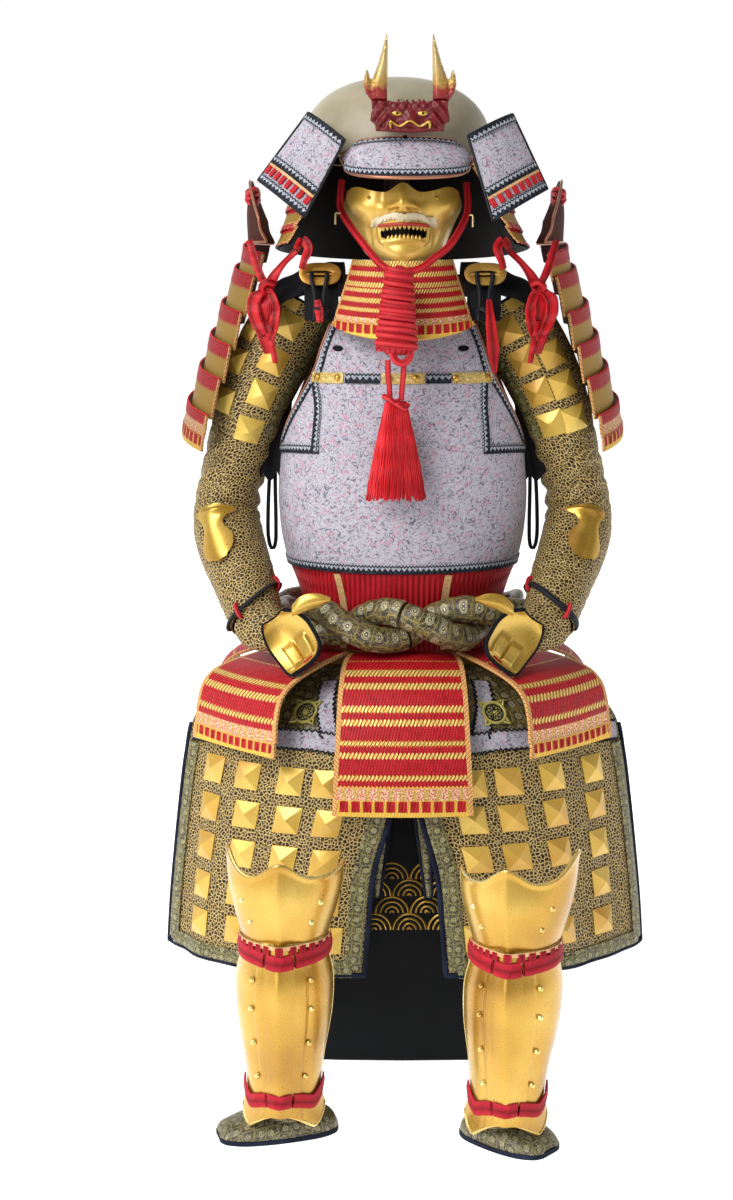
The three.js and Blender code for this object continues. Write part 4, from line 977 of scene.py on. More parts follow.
brightRim = giltSheet("brightRolledGiltEdge", "#e9cf78", "#c39a45", "#fbf0b4", 0.24)
bandSilk = braidedSilk("redBandSilk", "#ad0e22", "#7c0818", "#bf2236", 17.0, 3.0, 0.65)


# Camera, floor and light
studio = {
    "camera": (-4, -3057, 1150), "tilt": 8.97, "lens": 60, "aside": -33.5 / 1200,
    "aim": (0, 0, 700), "roomGlow": 0.16, "wallGlow": 1.0, "floorGlow": 0.86, "boxGlow": 4.2,
    "key": {"at": (-1700, -2300, 2900), "size": 1.8, "watts": 62},
    "fill": {"at": (2300, -1900, 1700), "size": 2.2, "watts": 6},
    "top": {"at": (0, 300, 3600), "size": 2.6, "watts": 16},
    "back": {"at": (-400, 2600, 2200), "size": 2.0, "watts": 12},
}


def areaLight(name, settings):
    light = bpy.data.lights.new(name, "AREA")
    light.energy = settings["watts"]
    light.size = settings["size"]
    lamp = bpy.data.objects.new(name, light)
    bpy.context.collection.objects.link(lamp)
    lamp.location = toMetres(settings["at"])
    toward = Vector(toMetres(studio["aim"])) - lamp.location
    lamp.rotation_euler = toward.to_track_quat("-Z", "Y").to_euler()


def makeStudio():
    camera = bpy.data.objects.new("camera", bpy.data.cameras.new("camera"))
    bpy.context.collection.objects.link(camera)
    camera.location = toMetres(studio["camera"])
    camera.rotation_euler = (math.radians(90 - studio["tilt"]), 0, 0)
    camera.data.lens = studio["lens"]
    camera.data.sensor_width = 36
    camera.data.shift_x = studio["aside"]
    camera.data.clip_end = 50
    bpy.context.scene.camera = camera
    for name in ("key", "fill", "top", "back"):
        areaLight(name + "Light", studio[name])
    bpy.ops.mesh.primitive_plane_add(size=40, location=(0, 0, -0.0005))
    floor = bpy.context.object
    floor.name = "studioFloor"
    material, tree, shader = newMaterial("palePaperFloor")
    grain = noise(tree, coordinates(tree, "object"), 400, 3)
    dress(tree, shader, ramp(tree, grain, [(0.3, "#f4f4f3"), (0.7, "#f8f8f7")]), 0.9,
          fixed={"Emission Color": (1, 1, 1, 1)})
    _, near, _ = split(tree, coordinates(tree, "object"))
    tree.links.new(ramp(tree, times(tree, plus(tree, near, 3.0), 0.25),
                        [(0.33, 0.12), (0.5, studio["floorGlow"])]), shader.inputs["Emission Strength"])
    floor.data.materials.append(material)
    world = bpy.data.worlds.new("studioWorld")
    bpy.context.scene.world = world
    world.use_nodes = True
    tree = world.node_tree
    sideways, away, up = [plus(tree, times(tree, part, 0.5), 0.5) for part in split(tree,
        addNode(tree, "TexCoord").outputs["Generated"])]
    wall = ramp(tree, up, [(0.64, studio["wallGlow"]), (0.72, studio["roomGlow"])])
    # the near side of the room is dim, with one tall soft light well to the left that draws the long highlights
    room = ramp(tree, sideways, [(0.1, 0.35), (0.14, studio["boxGlow"]), (0.235, studio["boxGlow"]), (0.275, 0.4),
                                 (0.6, studio["roomGlow"])])
    glow = mixed(tree, ramp(tree, away, [(0.47, 0.0), (0.56, 1.0)]), room, wall)
    tree.links.new(glow, tree.nodes["Background"].inputs[0])
    bpy.context.scene.view_settings.view_transform = "Standard"


makeStudio()
print("studio done")


# Cords
cordPath = {
    "chin": [(-89, -80, 1300), (-91, -88, 1263), (-83, -102, 1244), (-60, -134, 1212), (-30, -170, 1177),
             (-3, -184, 1167),
             (24, -177, 1172), (46, -162, 1188), (68, -138, 1206), (89, -100, 1240), (95, -86, 1263),
             (93, -78, 1296)],
    "arm": [(202, 14, 884), (206, 14, 840), (208, 14, 780), (206, 13, 755), (201, 12, 746), (196.5, 12, 756),
            (195.5, 12, 785),
            (196, 12, 840), (196, 13, 885)],
    "chinWide": 11, "strandWide": 8, "armWide": 6,
}


def freeCord(name, points, wide, material, slot, node):
    piece = stands(tube(name, points, wide / 2, material, 12), slot, node)
    tuple(toMetres(points[0]))
    [tuple(p) for p in toMetres(points)]


chinLine = curveThrough(cordPath["chin"], 90)
freeCord("chinCord", chinLine, cordPath["chinWide"], redSilk, "red_silk", "chin_cord")
for side, name, title in bothSides:
    armLine = curveThrough([(side * x, y, z) for x, y, z in cordPath["arm"]], 60)
    freeCord("armCord" + title, armLine, cordPath["armWide"], blackCord, "black_cloth", "arm_cord_" + name)
    x = -10 + 11 * side
    strandLine = curveThrough([(x, -205, 1044), (x, -204, 1026), (x - 2 * side, -197, 1004),
                               (x - 3 * side, -193, 987)], 24)
    freeCord("chinStrand" + title, strandLine, cordPath["strandWide"], knotSilk, "red_silk", "chin_strand_" + name)

# The wrapped knot: a long spiral of cord round a core, widest low down, with a loop at its foot.
knot = {"top": (-5, -182, 1176), "foot": (-10, -205, 1052), "flat": 0.72, "wraps": 12, "cord": 5.8,
        "rows": [(0, 12), (0.04, 19), (0.2, 22), (0.45, 25), (0.7, 28), (0.92, 31), (1, 22)]}


def knotRadius(down):
    rows = np.array(knot["rows"], float)
    return np.interp(down, rows[:, 0], rows[:, 1])


def makeKnot():
    top, foot = np.array(knot["top"], float), np.array(knot["foot"], float)
    axis = unit(foot - top)
    wide = unit(np.cross(axis, np.array([0, -1.0, 0])))
    deep = unit(np.cross(wide, axis))
    t = np.linspace(0, 1, knot["wraps"] * 26)
    down = 0.04 + 0.9 * t
    turn = 2 * math.pi * knot["wraps"] * t
    radius = knotRadius(down) - knot["cord"] * 0.8
    line = top + np.outer(down * np.linalg.norm(foot - top), axis)
    tilt = 3.0 * np.sin(turn) + 1.2 * np.sin(turn * 0.37 + 1)
    line = line + wide * (radius * np.cos(turn))[:, None] + deep * (radius * knot["flat"] * np.sin(turn))[:,
        None] + axis * tilt[:, None]
    wraps = tube("knotWraps", line, knot["cord"], knotSilk, 10)
    core = [top + axis * np.linalg.norm(foot - top) * d for d in np.linspace(0, 1, 12)]
    inside = tube("knotCore", core, np.maximum(knotRadius(np.linspace(0, 1, 12)) - 7, 3), knotSilk, 16, flat=0.8,
                  sideAxis=wide)
    loopTurn = np.linspace(-0.25, 1.2, 30) * math.pi
    centre = foot + np.array([8, -9, 4])
    loop = centre + wide * (13 * np.cos(loopTurn))[:, None] * -1 + np.array([0, 0,
        1.0]) * (16 * np.sin(loopTurn))[:, None] * -1
    loop = loop + np.array([0, 1.0, 0]) * (6 * (np.abs(loopTurn - 1.5) / 2) ** 2)[:, None]
    return merged("chinKnot", [wraps, inside, tube("knotLoop", loop, knot["cord"] - 0.6, knotSilk, 10)])


stands(makeKnot(), "red_silk", "chin_knot")

tassel = {"top": (-10, -192, 985), "foot": (-10, -181, 841), "flat": 0.42, "threads": 210,
          "rows": [(0, 13), (0.06, 15), (0.25, 21), (0.55, 30), (0.85, 38), (1, 42)]}


def makeTassel():
    top, foot = np.array(tassel["top"], float), np.array(tassel["foot"], float)
    rows = np.array(tassel["rows"], float)
    lines = []
    for i in range(tassel["threads"]):
        turn = 2 * math.pi * (i * 0.61803)
        inward = 1.0 if i % 3 else 0.9
        length = 1 - 0.06 * random.random()
        sway = 0.06 * (random.random(2) - 0.5)
        line = []
        for d in np.linspace(0, 1, 7):
            at = d * length
            radius = np.interp(at, rows[:, 0], rows[:, 1]) * inward
            angle = turn + sway[0] * 6 * d
            spread = radius * (1 + 0.05 * math.sin(9 * at + i))
            line.append(top + (foot - top) * at + np.array([math.cos(angle) * spread,
                math.sin(angle) * spread * tassel["flat"], sway[1] * 20 * at]))
        lines.append(line)
    threads = tubes("threads", lines, np.array([2.0, 2.1, 2.2, 2.1, 2.0, 1.9, 1.1]), tasselSilk, 5)
    down = np.linspace(0, 0.88, 8)
    core = tube("tasselCore", [top + (foot - top) * d for d in down],
                np.interp(down, rows[:, 0], rows[:, 1]) * 0.86, tasselSilk, 20, flat=tassel["flat"],
                sideAxis=(1, 0, 0))
    collar = tubes("tasselKnots", [curveThrough([(-27, -196, 992), (-20, -203, 990), (-12, -202, 984),
        (-6, -196, 986)], 16),
                                   curveThrough([(-12, -198, 984), (-5, -204, 980), (2, -199, 976),
                                       (7, -192, 980)], 16)], 4.2, knotSilk)
    return merged("chinTassel", [core, threads, collar])


stands(makeTassel(), "red_silk", "chin_tassel")
print("cords done")


# Body armour
breast = cuirassSurface(-1)
back = cuirassSurface(1)
braidWide = 13.0
stands(panel("breastCloth", breast, 72, 48, 3.5, greyDamask, blackCloth), "grey_damask", "cuirass_front")
stands(panel("backCloth", back, 60, 40, 3.5, greyDamask, blackCloth), "grey_damask", "cuirass_back")


def edgePoints(surface, fixed, start, end, count=60, lift=0.0):  # fixed: ("u", value) or ("v", value)
    along = np.linspace(start, end, count)
    still = np.full(count, float(fixed[1]))
    u, v = (still, along) if fixed[0] == "u" else (along, still)
    return raised(surface, u, v, lift)


def edgeLoop(surface, rows, columns, lift=0.0):  # once round all four edges
    return np.concatenate([edgePoints(surface, ("u", 0.0), 0, 1, rows, lift),
                           edgePoints(surface, ("v", 1.0), 0, 1, columns, lift)[1:],
                           edgePoints(surface, ("u", 1.0), 1, 0, rows, lift)[1:],
                           edgePoints(surface, ("v", 0.0), 1, 0, columns, lift)[1:-1]])


braidWays = [  # name, surface, spots, width and how many steps along
    ("hemBraidFront", breast, [(0, 0.021), (1, 0.021)], braidWide, 90),
    ("hemBraidBack", back, [(0, 0.021), (1, 0.021)], braidWide, 90),
    ("sideBraidLeft", breast, [(0.06, 0.70), (0.17, 0.575), (0.243, 0.42)], braidWide, 40),
    ("sideBraidRight", breast, [(0.74, 0.42), (0.814, 0.575), (0.90, 0.70)], braidWide, 40),
    ("lowBraidLeft", breast, [(0.0, 0.41), (0.12, 0.424), (0.255, 0.43)], braidWide, 40),
    ("lowBraidRight", breast, [(0.735, 0.43), (0.87, 0.424), (1.0, 0.41)], braidWide, 40),
    ("armholeBraidLeft", breast, [(0.055, 0.72), (0.045, 0.84), (0.045, 0.99)], 9.0, 40),
    ("armholeBraidRight", breast, [(0.955, 0.99), (0.955, 0.84), (0.945, 0.72)], 9.0, 40),
    ("outerBraidRight", breast, [(0.965, 0.71), (0.968, 0.6), (0.975, 0.45)], 9.0, 30),
    ("outerBraidLeft", breast, [(0.025, 0.45), (0.032, 0.6), (0.035, 0.71)], 9.0, 30),
    ("backBraidLeft", back, [(0.03, 0.985), (0.03, 0.75), (0.03, 0.45)], 11.0, 40),
    ("backBraidRight", back, [(0.97, 0.45), (0.97, 0.75), (0.97, 0.985)], 11.0, 40),
    ("backTopBraid", back, [(0.04, 0.965), (0.96, 0.965)], 12.0, 60),
]
braids = [strip(name, surface, spots, wide, zigzagTrim, count=count) for name, surface, spots, wide,
          count in braidWays]
stands(merged("cuirassBraids", braids), "grey_damask")

bandWide, bandV = 16.0, 0.7255
gildedSpans = [(0.02, 0.215), (0.405, 0.60), (0.735, 0.97)]
tapes = [strip("chestTape", breast, [(a, bandV), (b, bandV)], bandWide, goldTape, count=24) for a, b in gildedSpans]
stands(merged("chestGoldTape", tapes), "gold_net_brocade")
darkSpans = [(0.225, 0.395), (0.608, 0.727)]
chestPatch = zigzagBraid("blackChestPatch", 15.0, 9.5, "#9aa0aa", "#0d0f14")
tapes = [strip("chestPatch", breast, [(a, bandV), (b, bandV)], bandWide - 1, chestPatch, lift=1.0, count=24)
         for a, b in darkSpans]
stands(merged("chestDarkTape", tapes), "black_cloth")


def domePattern(width, depth, height, segments=14, rings=6):  # a low round or oval boss, in metres
    bpy.ops.mesh.primitive_uv_sphere_add(segments=segments, ring_count=rings, radius=1)
    dome = bpy.context.object
    for vertex in dome.data.vertices:
        x, y, z = vertex.co
        vertex.co = (x * width / 2000, y * depth / 2000, max(z, -0.25) * height / 1000)
    return dome


studSpots = [(0.062, bandV), (0.184, bandV), (0.438, bandV), (0.562, bandV), (0.75, bandV), (0.935, bandV)]
piece = scattered("chestStuds", domePattern(11, 11, 4.5), placesOn(breast, studSpots, 1.6), giltPlate)
stands(piece, "gold_plate")
piece = scattered("chestEyelets", domePattern(19, 9, 1.2), placesOn(breast, [(0.127, 0.872), (0.846, 0.874)], 0.4),
                  blackCloth)
stands(piece, "black_cloth")

rims = [tube("armholeRim" + str(i), edgePoints(surface, ("u", u), 0.40, 1.0), 1.9, copperRim, 8)
        for i, (surface, u) in enumerate([(breast, 0.0), (breast, 1.0), (back, 0.0), (back, 1.0)])]
rims += [tube("collarRim" + str(i), edgePoints(surface, ("v", 1.0), 0, 1), 1.9, copperRim, 8)
         for i, surface in enumerate((breast, back))]
stands(merged("copperRims", rims), "gold_plate")

piece = panel("waistGathers", waistSurface, 480, 10, 2.5, redSilk,
              relief=lambda u, v, x, y: 2.4 * np.abs(np.sin(u * 118 * math.pi + 0.5 * np.sin(9 * v))) ** 0.7 - 1.2,
              ring=True)
stands(piece, "red_lacing", "waist_lacing")
plaitedTape = figuredBrocade("pinkGoldPlaitedTape", "#c9824e", "#e8b877", "#f3dca0", "#e58a86", 6)
tapes = [strip("waistTape", waistSurface, [(u, 0.02), (u, 0.98)], 11.0, plaitedTape, lift=1.6, count=24)
         for u in (0.405, 0.564)]
stands(merged("waistTapes", tapes), "gold_net_brocade")

# shoulder straps
straps = {"line": [(118, -104, 1098), (119, -98, 1130), (120, -72, 1160), (121, -30, 1173), (121, 20, 1173),
                   (119, 66, 1160), (116, 98, 1132)],
          "halfWidth": 25, "thick": 6}
for side, name, title in bothSides:
    line = curveThrough([(side * x, y, z) for x, y, z in straps["line"]], 60)
    piece = tube("shoulderStrap" + title, line, straps["halfWidth"], blackStrap, 20,
                 flat=straps["thick"] / 2 / straps["halfWidth"],
                 sideAxis=(1, 0, 0), square=0.35)
    stands(piece, "black_cloth", "shoulder_strap_" + name)
print("body armour done")

# Laced skirt panels
frontBands = [(0, redLace), (45, goldLine), (47, redLace), (73, goldLine), (86, redLace), (101, goldLine),
              (111, redLace), (138, goldLine),
              (147, redLace), (158, goldLine), (166, redLace), (188, goldLine), (195, redLace), (205, goldLine),
              (212, redLace),
              (236, goldLine), (244, redLace), (253, hemEdge), (255, patternBand), (272, hemEdge), (274, tabRow),
              (290, hemEdge)]
sideBands = [(0, redLace), (60, goldLine), (63, redLace), (95, goldLine), (98, redLace), (137, goldLine),
             (147, redLace), (160, goldLine),
             (168, redLace), (193, goldLine), (200, redLace), (210, patternBand), (227, hemEdge), (229, tabRow),
             (242, hemEdge)]
lacedFront = lacedLames("redLacingOnFrontLames", 297.5, frontBands, pitch=4.4)
lacedSide = lacedLames("redLacingOnSideLames", 248.5, sideBands, pitch=5.6, tab=15.0)
reliefOf = {redLace: 0.6, goldLine: 1.6, patternBand: 0.4, tabRow: 0.5, hemEdge: 1.4, plainGold: 0.8}


def lameRelief(bands, tab, scale=1.0):
    starts = np.array([start for start, _ in bands])
    kinds = [kind for _, kind in bands]

    def relief(u, v, x, y):
        down = -y
        index = np.clip(np.searchsorted(starts, down, side="right") - 1, 0, len(kinds) - 1)
        height = np.array([reliefOf[k] for k in kinds])[index]
        isLace = np.array([k == redLace for k in kinds])[index]
        isTab = np.array([k == tabRow for k in kinds])[index]
        pad = smoothStep(np.abs(np.sin(math.pi * x / tab)), 0.25, 0.5)
        return scale * (height + isLace * 0.9 + isTab * 1.8 * pad)
    return relief


for name in tasset["places"]:
    isFront = name == "front"
    fine = name in ("front", "front_left", "front_right")
    bands, length = (frontBands, 297.5) if isFront else (sideBands, 248.5)
    relief = lameRelief(bands, 16.8 if isFront else 15.0)
    piece = panel("tasset" + "".join(word.capitalize() for word in name.split("_")), tassetSurface(name),
                  80 if fine else 56, 94 if fine else 60, 4, lacedFront if isFront else lacedSide, antiqueGold,
                  relief, smooth=60)
    stands(piece, "red_lacing", "tasset_" + name)
print("skirt panels done")

# Sash: two twisted rolls of dark brocade
sash = {"centre": 657, "halfWidth": 184, "depth": 176, "turns": 5, "phase": math.radians(60),
        # degrees from the front, roll, twist
        "rows": [(0, 20, 21), (30, 20, 21), (48, 17, 18), (70, 11, 12), (110, 10, 11), (180, 10, 11)]}
for number, word in enumerate(("one", "two")):
    turn = np.linspace(0, 2 * math.pi, 320, endpoint=False)
    fromFront = np.degrees(np.minimum(turn, 2 * math.pi - turn))
    rows = np.array(sash["rows"], float)
    roll, twist = np.interp(fromFront, rows[:, 0], rows[:, 1]), np.interp(fromFront, rows[:, 0], rows[:, 2])
    spin = sash["turns"] * turn + sash["phase"] + number * math.pi
    outward = np.stack([-np.sin(turn), -np.cos(turn), 0 * turn], axis=1)
    line = outward * np.array([sash["halfWidth"], sash["depth"], 0]) + outward * (twist * np.cos(spin))[:, None]
    line[:, 2] += sash["centre"] + twist * np.sin(spin)
    swell = 1 + 0.03 * np.sin(23 * turn + 2 * number) + 0.02 * np.sin(57 * turn)
    piece = tube("sashRoll" + word.capitalize(), line, roll * swell, sashBrocade, 28, closed=True)
    stands(piece, "dark_brocade", "belt_strand_" + word)
print("sash done")


# Thigh guards
thighDress = {
    "split": 0.60,  # v where the netted skirt part ends and the grey and dark upper part starts
    "rows": {-1: [(0.476, (0.194, 0.381, 0.583, 0.735)), (0.364, (0.205, 0.407, 0.603, 0.775)),
                  (0.272, (0.214, 0.42, 0.62, 0.80)),
                  (0.182, (0.223, 0.432, 0.638, 0.83)), (0.094, (0.231, 0.444, 0.655, 0.855))],
             1: [(0.478, (0.215, 0.367, 0.568, 0.79)), (0.372, (0.19, 0.355, 0.553, 0.778)),
                 (0.28, (0.17, 0.338, 0.535, 0.763)),
                 (0.19, (0.15, 0.32, 0.515, 0.747)), (0.1, (0.13, 0.30, 0.495, 0.731))]},
    "boss": (40, 40, 8.5), "trim": 25.0, "piping": 4.0,
}


def thighWaves(side):
    def relief(u, v, x, y):
        t = 1 - u if side < 0 else u
        sway = 3.2 * np.sin(13 * t + 1.3 * side) * (1 - v) + 1.6 * np.sin(27 * t + 6 * v)
        return sway * smoothStep(1 - v, 0.2, 0.7) * np.minimum(1, 8 * np.minimum(t, 1 - t)) - 1.0
    return relief


dullGilt = giltSheet("dullGiltThread", "#c9bd66", "#a3964a", "#e2d98e", 0.5, metal=0.1)
for side, name, title in bothSides:
    surface = thighSurface(side)
    waves = thighWaves(side)

    def wavy(u, v, surface=surface, waves=waves):
        return raised(surface, u, v, waves(u, v, u, v)[..., None])

    def across(u, side=side):  # u counted from the middle of the armour on either side
        return u if side > 0 else 1 - u

    cloth = panel("thighGuard" + title, wavy, 90, 90, 3, goldNet, blackCloth)
    stands(cloth, "gold_net_brocade", "thigh_guard_" + name)
    seam = thighDress["split"]
    upper = panel("thighUpper" + title, patch(wavy, (0.01, seam), (0.99, 0.995), 0.9), 50, 30, 0.8, sashBrocade)
    stands(upper, "dark_brocade")
    level = [(across(0.02), seam - 0.012), (across(0.35), seam + 0.012), (across(0.68), seam),
             (across(0.97), seam - 0.02)]
    downs = [[(across(u0), seam + 0.03), (across(u1), 0.73), (across(u2), 0.87)] for u0, u1,
             u2 in ((0.275, 0.33, 0.40), (0.70, 0.69, 0.66))]
    greys = [strip("greyLevel", wavy, level, 28, greyDamask, 1.6, 1.0, 60)]
    for top, *others in downs:
        greys.append(strip("greyDown", wavy, [(top[0], seam + 0.02), *others], 25, greyDamask, 1.8, 1.0, 30))
    stands(merged("thighGreyStrips" + title, greys), "grey_damask")
    scallops = []
    for spotsAlong, half, count in ((level, 14.0, 300), (downs[0], 12.5, 120), (downs[1], 12.5, 120)):
        way = np.linspace(0, 1, count)
        t = np.linspace(0, 1, len(spotsAlong))
        u, v = [np.interp(way, t, values) for values in zip(*spotsAlong)]
        normal = slopes(wavy, u, v)[2]
        points = wavy(u, v) + normal * 3.0
        aside = unit(np.cross(unit(np.gradient(points, axis=0)), normal))
        length = np.linalg.norm(np.diff(points, axis=0), axis=1).sum()
        wobble = 1.7 * np.sin(way * length / 8.5 * 2 * math.pi)
        scallops += [points + aside * (end * half + wobble)[:, None] for end in (-1, 1)]
    stands(tubes("thighDarkEdges" + title, scallops, 1.9, blackCord, 6, flat=0.6), "black_cloth")
    spots = [(u, v) for v, columns in thighDress["rows"][side] for u in columns]
    stands(laidOn("thighBosses" + title, pyramidPattern(*thighDress["boss"]), wavy, spots, giltBoss, 0.6),
           "gold_plate")
    inset = thighDress["trim"] / 2 + 3
    uScale, vScale = scaleAt(wavy, 0.5, 0.1)
    du, dv = inset / uScale, inset / vScale
    trims = [strip("thighTrim", wavy, [start, end], thighDress["trim"], trimBrocade, lift, 1.4, count, pad=2.4)
             for start, end, lift, count in (((du, dv), (1 - du, dv), 0.8, 90), ((du, dv), (du, 0.54), 0.9, 70),
                     ((1 - du, dv), (1 - du, 0.54), 0.9, 70))]
    stands(merged("thighTrims" + title, trims), "dark_brocade")
    low = edgePoints(wavy, ("v", 0.0), 0, 1, 90)
    firstEdge, lastEdge = [edgePoints(wavy, ("u", u), 0, 0.6) for u in (0.0, 1.0)]
    piping = tube("thighPiping" + title, np.concatenate([firstEdge[::-1], low[1:-1], lastEdge]),
                  thighDress["piping"], navyCloth, 8)
    stands(piping, "black_cloth")
    middleU, middleV = across(0.37 if side > 0 else 0.424), 0.715
    centre = placesOn(wavy, [(middleU, middleV)], 2.2)
    parts = [scattered("roundelDisc", domePattern(31, 31, 1.6, 40, 8), centre, dullGilt),
             scattered("roundelHeart", domePattern(7, 7, 4.0), centre, dullGilt)]
    origin = wavy(np.array([middleU]), np.array([middleV]))[0]
    along, rise, outward = [k[0] for k in slopes(wavy, np.array([middleU]), np.array([middleV]))]
    along, rise = unit(along), unit(np.cross(outward, unit(along)))

    def onDisc(radius, turn):
        return origin + outward * 3.6 + along * (radius * math.cos(turn)) + rise * (radius * math.sin(turn))

    ring = [[onDisc(17.0, t) for t in np.linspace(0, 2 * math.pi, 40)]]
    lines = [[onDisc(13.0, t) for t in np.linspace(0, 2 * math.pi, 40)]]
    for k in range(8):  # eight pointed petals round the heart
        turn = k * math.pi / 4 + 0.2
        lines.append([onDisc(5, turn), onDisc(9, turn - 0.3), onDisc(13, turn), onDisc(9, turn + 0.3),
                      onDisc(5, turn)])
    for k in range(4):  # corner sprays outside the ring
        turn = k * math.pi / 2 + math.pi / 4
        ring.append([onDisc(19, turn - 0.22), onDisc(27, turn), onDisc(19, turn + 0.22)])
    parts += [tubes("roundelRing", ring, 2.4, dullGilt, 6), tubes("roundelLines", lines, 1.0, blackCord, 6)]
    stands(merged("thighRoundel" + title, parts), "gold_plate")
print("thigh guards done")

# narrow brocade gores that hang between the two thigh guards
for side, _, title in bothSides:
    def gore(u, v, side=side):
        z = 268 + 210 * v
        half = 5 + 9 * v
        middle = 14 + 18 * (1 - v)
        return np.stack([side * (middle + 6) + (2 * u - 1) * half,
                         -246 - 3 * np.cos((2 * u - 1) * 1.4) + 5 * v + 0 * u, z + 0 * u], axis=-1)
    flap = panel("thighGore" + title, gore, 12, 40, 4, trimBrocade, navyCloth)
    edge = np.concatenate([edgePoints(gore, ("u", 0.0), 1, 0, 20), edgePoints(gore, ("u", 1.0), 0, 1, 20)])
    flap = stands(merged("thighGore" + title, [flap, tube("goreEdge", edge, 2.6, navyCloth, 8)]), "dark_brocade")


# Sleeves
sleeveDress = {
    "bosses": {-1: [(0.249, 0.056), (0.268, 0.146), (0.284, 0.238), (0.282, 0.324), (0.10, 0.10), (0.11, 0.19),
                    (0.12, 0.28)],
               1: [(0.297, 0.056), (0.296, 0.138), (0.301, 0.229), (0.295, 0.307), (0.166, 0.078), (0.182, 0.158),
                   (0.190, 0.235), (0.184, 0.312)]},
    "boss": (38, 38, 9), "elbow": {-1: 79, 1: 85}, "elbowLift": 5,
    "elbowRows": [(0.555, 8), (0.575, 27), (0.61, 33), (0.655, 20), (0.69, 17), (0.735, 28), (0.775, 25), (0.8, 9)],
    "wrist": (0.923, 0.065), "wristWide": 11.5,
}


def creases(u, v, side):  # soft folds that gather on the inner bend of the elbow
    bend = bump(v, 0.46, 0.13)
    folds = np.sin(2 * math.pi * (v * 15 + 0.9 * np.sin(2 * math.pi * u + 0.6 * side) + 0.3 * np.sin(4 * math.pi * u)))
    inner = 0.4 + 0.6 * bump(u, 0.42, 0.25)
    small = np.sin(2 * math.pi * (v * 31 + 1.7 * u)) * 0.7
    low = bump(v, 0.86, 0.08) * np.sin(2 * math.pi * (v * 24 + 0.5 * np.sin(2 * math.pi * u)))
    return bend * (3.4 * folds * inner + small) + 1.2 * low - 0.8


for side, name, title in bothSides:
    plain = sleeveSurface(side)

    def at(u, side=side):  # u always runs so that the outside faces out
        return 1 - u if side < 0 else u

    def turned(u, v, plain=plain, at=at):
        return plain(at(u), v)

    def draped(u, v, turned=turned, at=at, side=side):
        return raised(turned, u, v, creases(at(u), v, side)[..., None])

    piece = panel("sleeve" + title, draped, 64, 130, 2.5, goldNet, blackCloth, ring=True)
    stands(piece, "gold_net_brocade", "sleeve_" + name)
    bosses = laidOn("sleeveBosses", pyramidPattern(*sleeveDress["boss"]), draped,
                    [(at(u), v) for u, v in sleeveDress["bosses"][side]], giltBoss, 1.0)
    shoulderPatch = panel("shoulderPatch", patch(draped, (min(at(0.10), at(0.25)), 0.002),
        (max(at(0.10), at(0.25)), 0.03), 1.2), 10, 4, 1.2, giltBoss)
    stands(merged("sleeveBosses" + title, [bosses, shoulderPatch]), "gold_plate")
    stripWay = [(at(0.40), 0.01), (at(0.39), 0.15), (at(0.385), 0.33)]
    piece = strip("sleeveEdgeTape" + title, draped, stripWay, 15, trimBrocade, 0.9, 0.9, 50)
    stands(piece, "dark_brocade")
    # gourd-shaped elbow plate
    rows = np.array(sleeveDress["elbowRows"], float)

    def elbowSurface(u, v, side=side, plain=plain, rows=rows):
        step = np.linspace(0, 1, len(rows))
        along, half = np.interp(v, step, rows[:, 0]), rowsAt(sleeveDress["elbowRows"], v)[1]
        s = 1 - 2 * u
        degrees = sleeveDress["elbow"][side] - side * half * s
        turnU = degrees / 360
        place = plain(turnU, along)
        outward = slopes(plain, np.clip(turnU, 0.01, 0.99), along)[2] * side
        return place + outward * (sleeveDress["elbowLift"] + 2.5 * (1 - s * s) * np.sin(math.pi * np.clip(v, 0.02,
            0.98)) ** 0.5)[..., None]

    plate = panel("elbowPlate" + title, elbowSurface, 20, 44, 2.5, giltPlate,
                  relief=lambda u, v, x, y: 4.5 * bump(np.hypot((u - 0.5) * 34, (v - 0.27) * 130), 0, 8))
    stands(plate, "gold_plate", "elbow_plate_" + name)
    # black wrist band with two short red ties
    a, b = sleeveDress["wrist"]
    turn = np.linspace(0, 1, 73)[:-1]
    band = plain(turn, np.clip(a + b * np.cos(2 * math.pi * (turn - 0.134)), 0, 1)) + (slopes(plain,
        np.clip(turn, 0.003, 0.997), np.full(72, a))[2] * side) * 1.6
    wide = tube("wristBand" + title, band, sleeveDress["wristWide"] / 2, blackCord, 8, closed=True, flat=0.4)
    stands(wide, "black_cloth")
    ties = []
    for u in (0.19, 0.47):
        v = a + b * math.cos(2 * math.pi * (u - 0.134))
        centre = plain(np.array([u]), np.array([v]))[0]
        along, rise, outward = [k[0] for k in slopes(plain, np.array([u]), np.array([v]))]
        outward = outward * side
        ring = [centre + rise * (11 * math.cos(t)) + outward * (1 + 4.5 * math.sin(t)) for t in np.linspace(-0.4,
            math.pi + 0.4, 14)]
        ties.append(tube("wristTie", ring, 3.2, tieSilk, 8))
    stands(merged("wristTies" + title, ties), "red_silk")
print("sleeves done")

# Hand guards
hand = {"place": (161, -203, 641), "thick": 3, "bow": 9,
        "rows": [(-42, 20, 18, -4), (-30, 32, 30, 3), (-10, 38, 37, 7), (12, 37, 37, 7), (30, 35, 35, 3),
                 (40, 31, 32, -2), (48, 24, 26, -8)],
        "thumb": [(160, 684, 8, -212), (150, 692, 12, -215), (136, 698, 12, -217), (120, 701, 9, -218),
                  (104, 702, 3, -218)]}
handAlong = unit(np.array([-0.58, -0.42, -0.7]))
handAcross = unit(np.array([-0.74, -0.24, 0.63]))
handFacing = unit(np.cross(handAcross, handAlong))


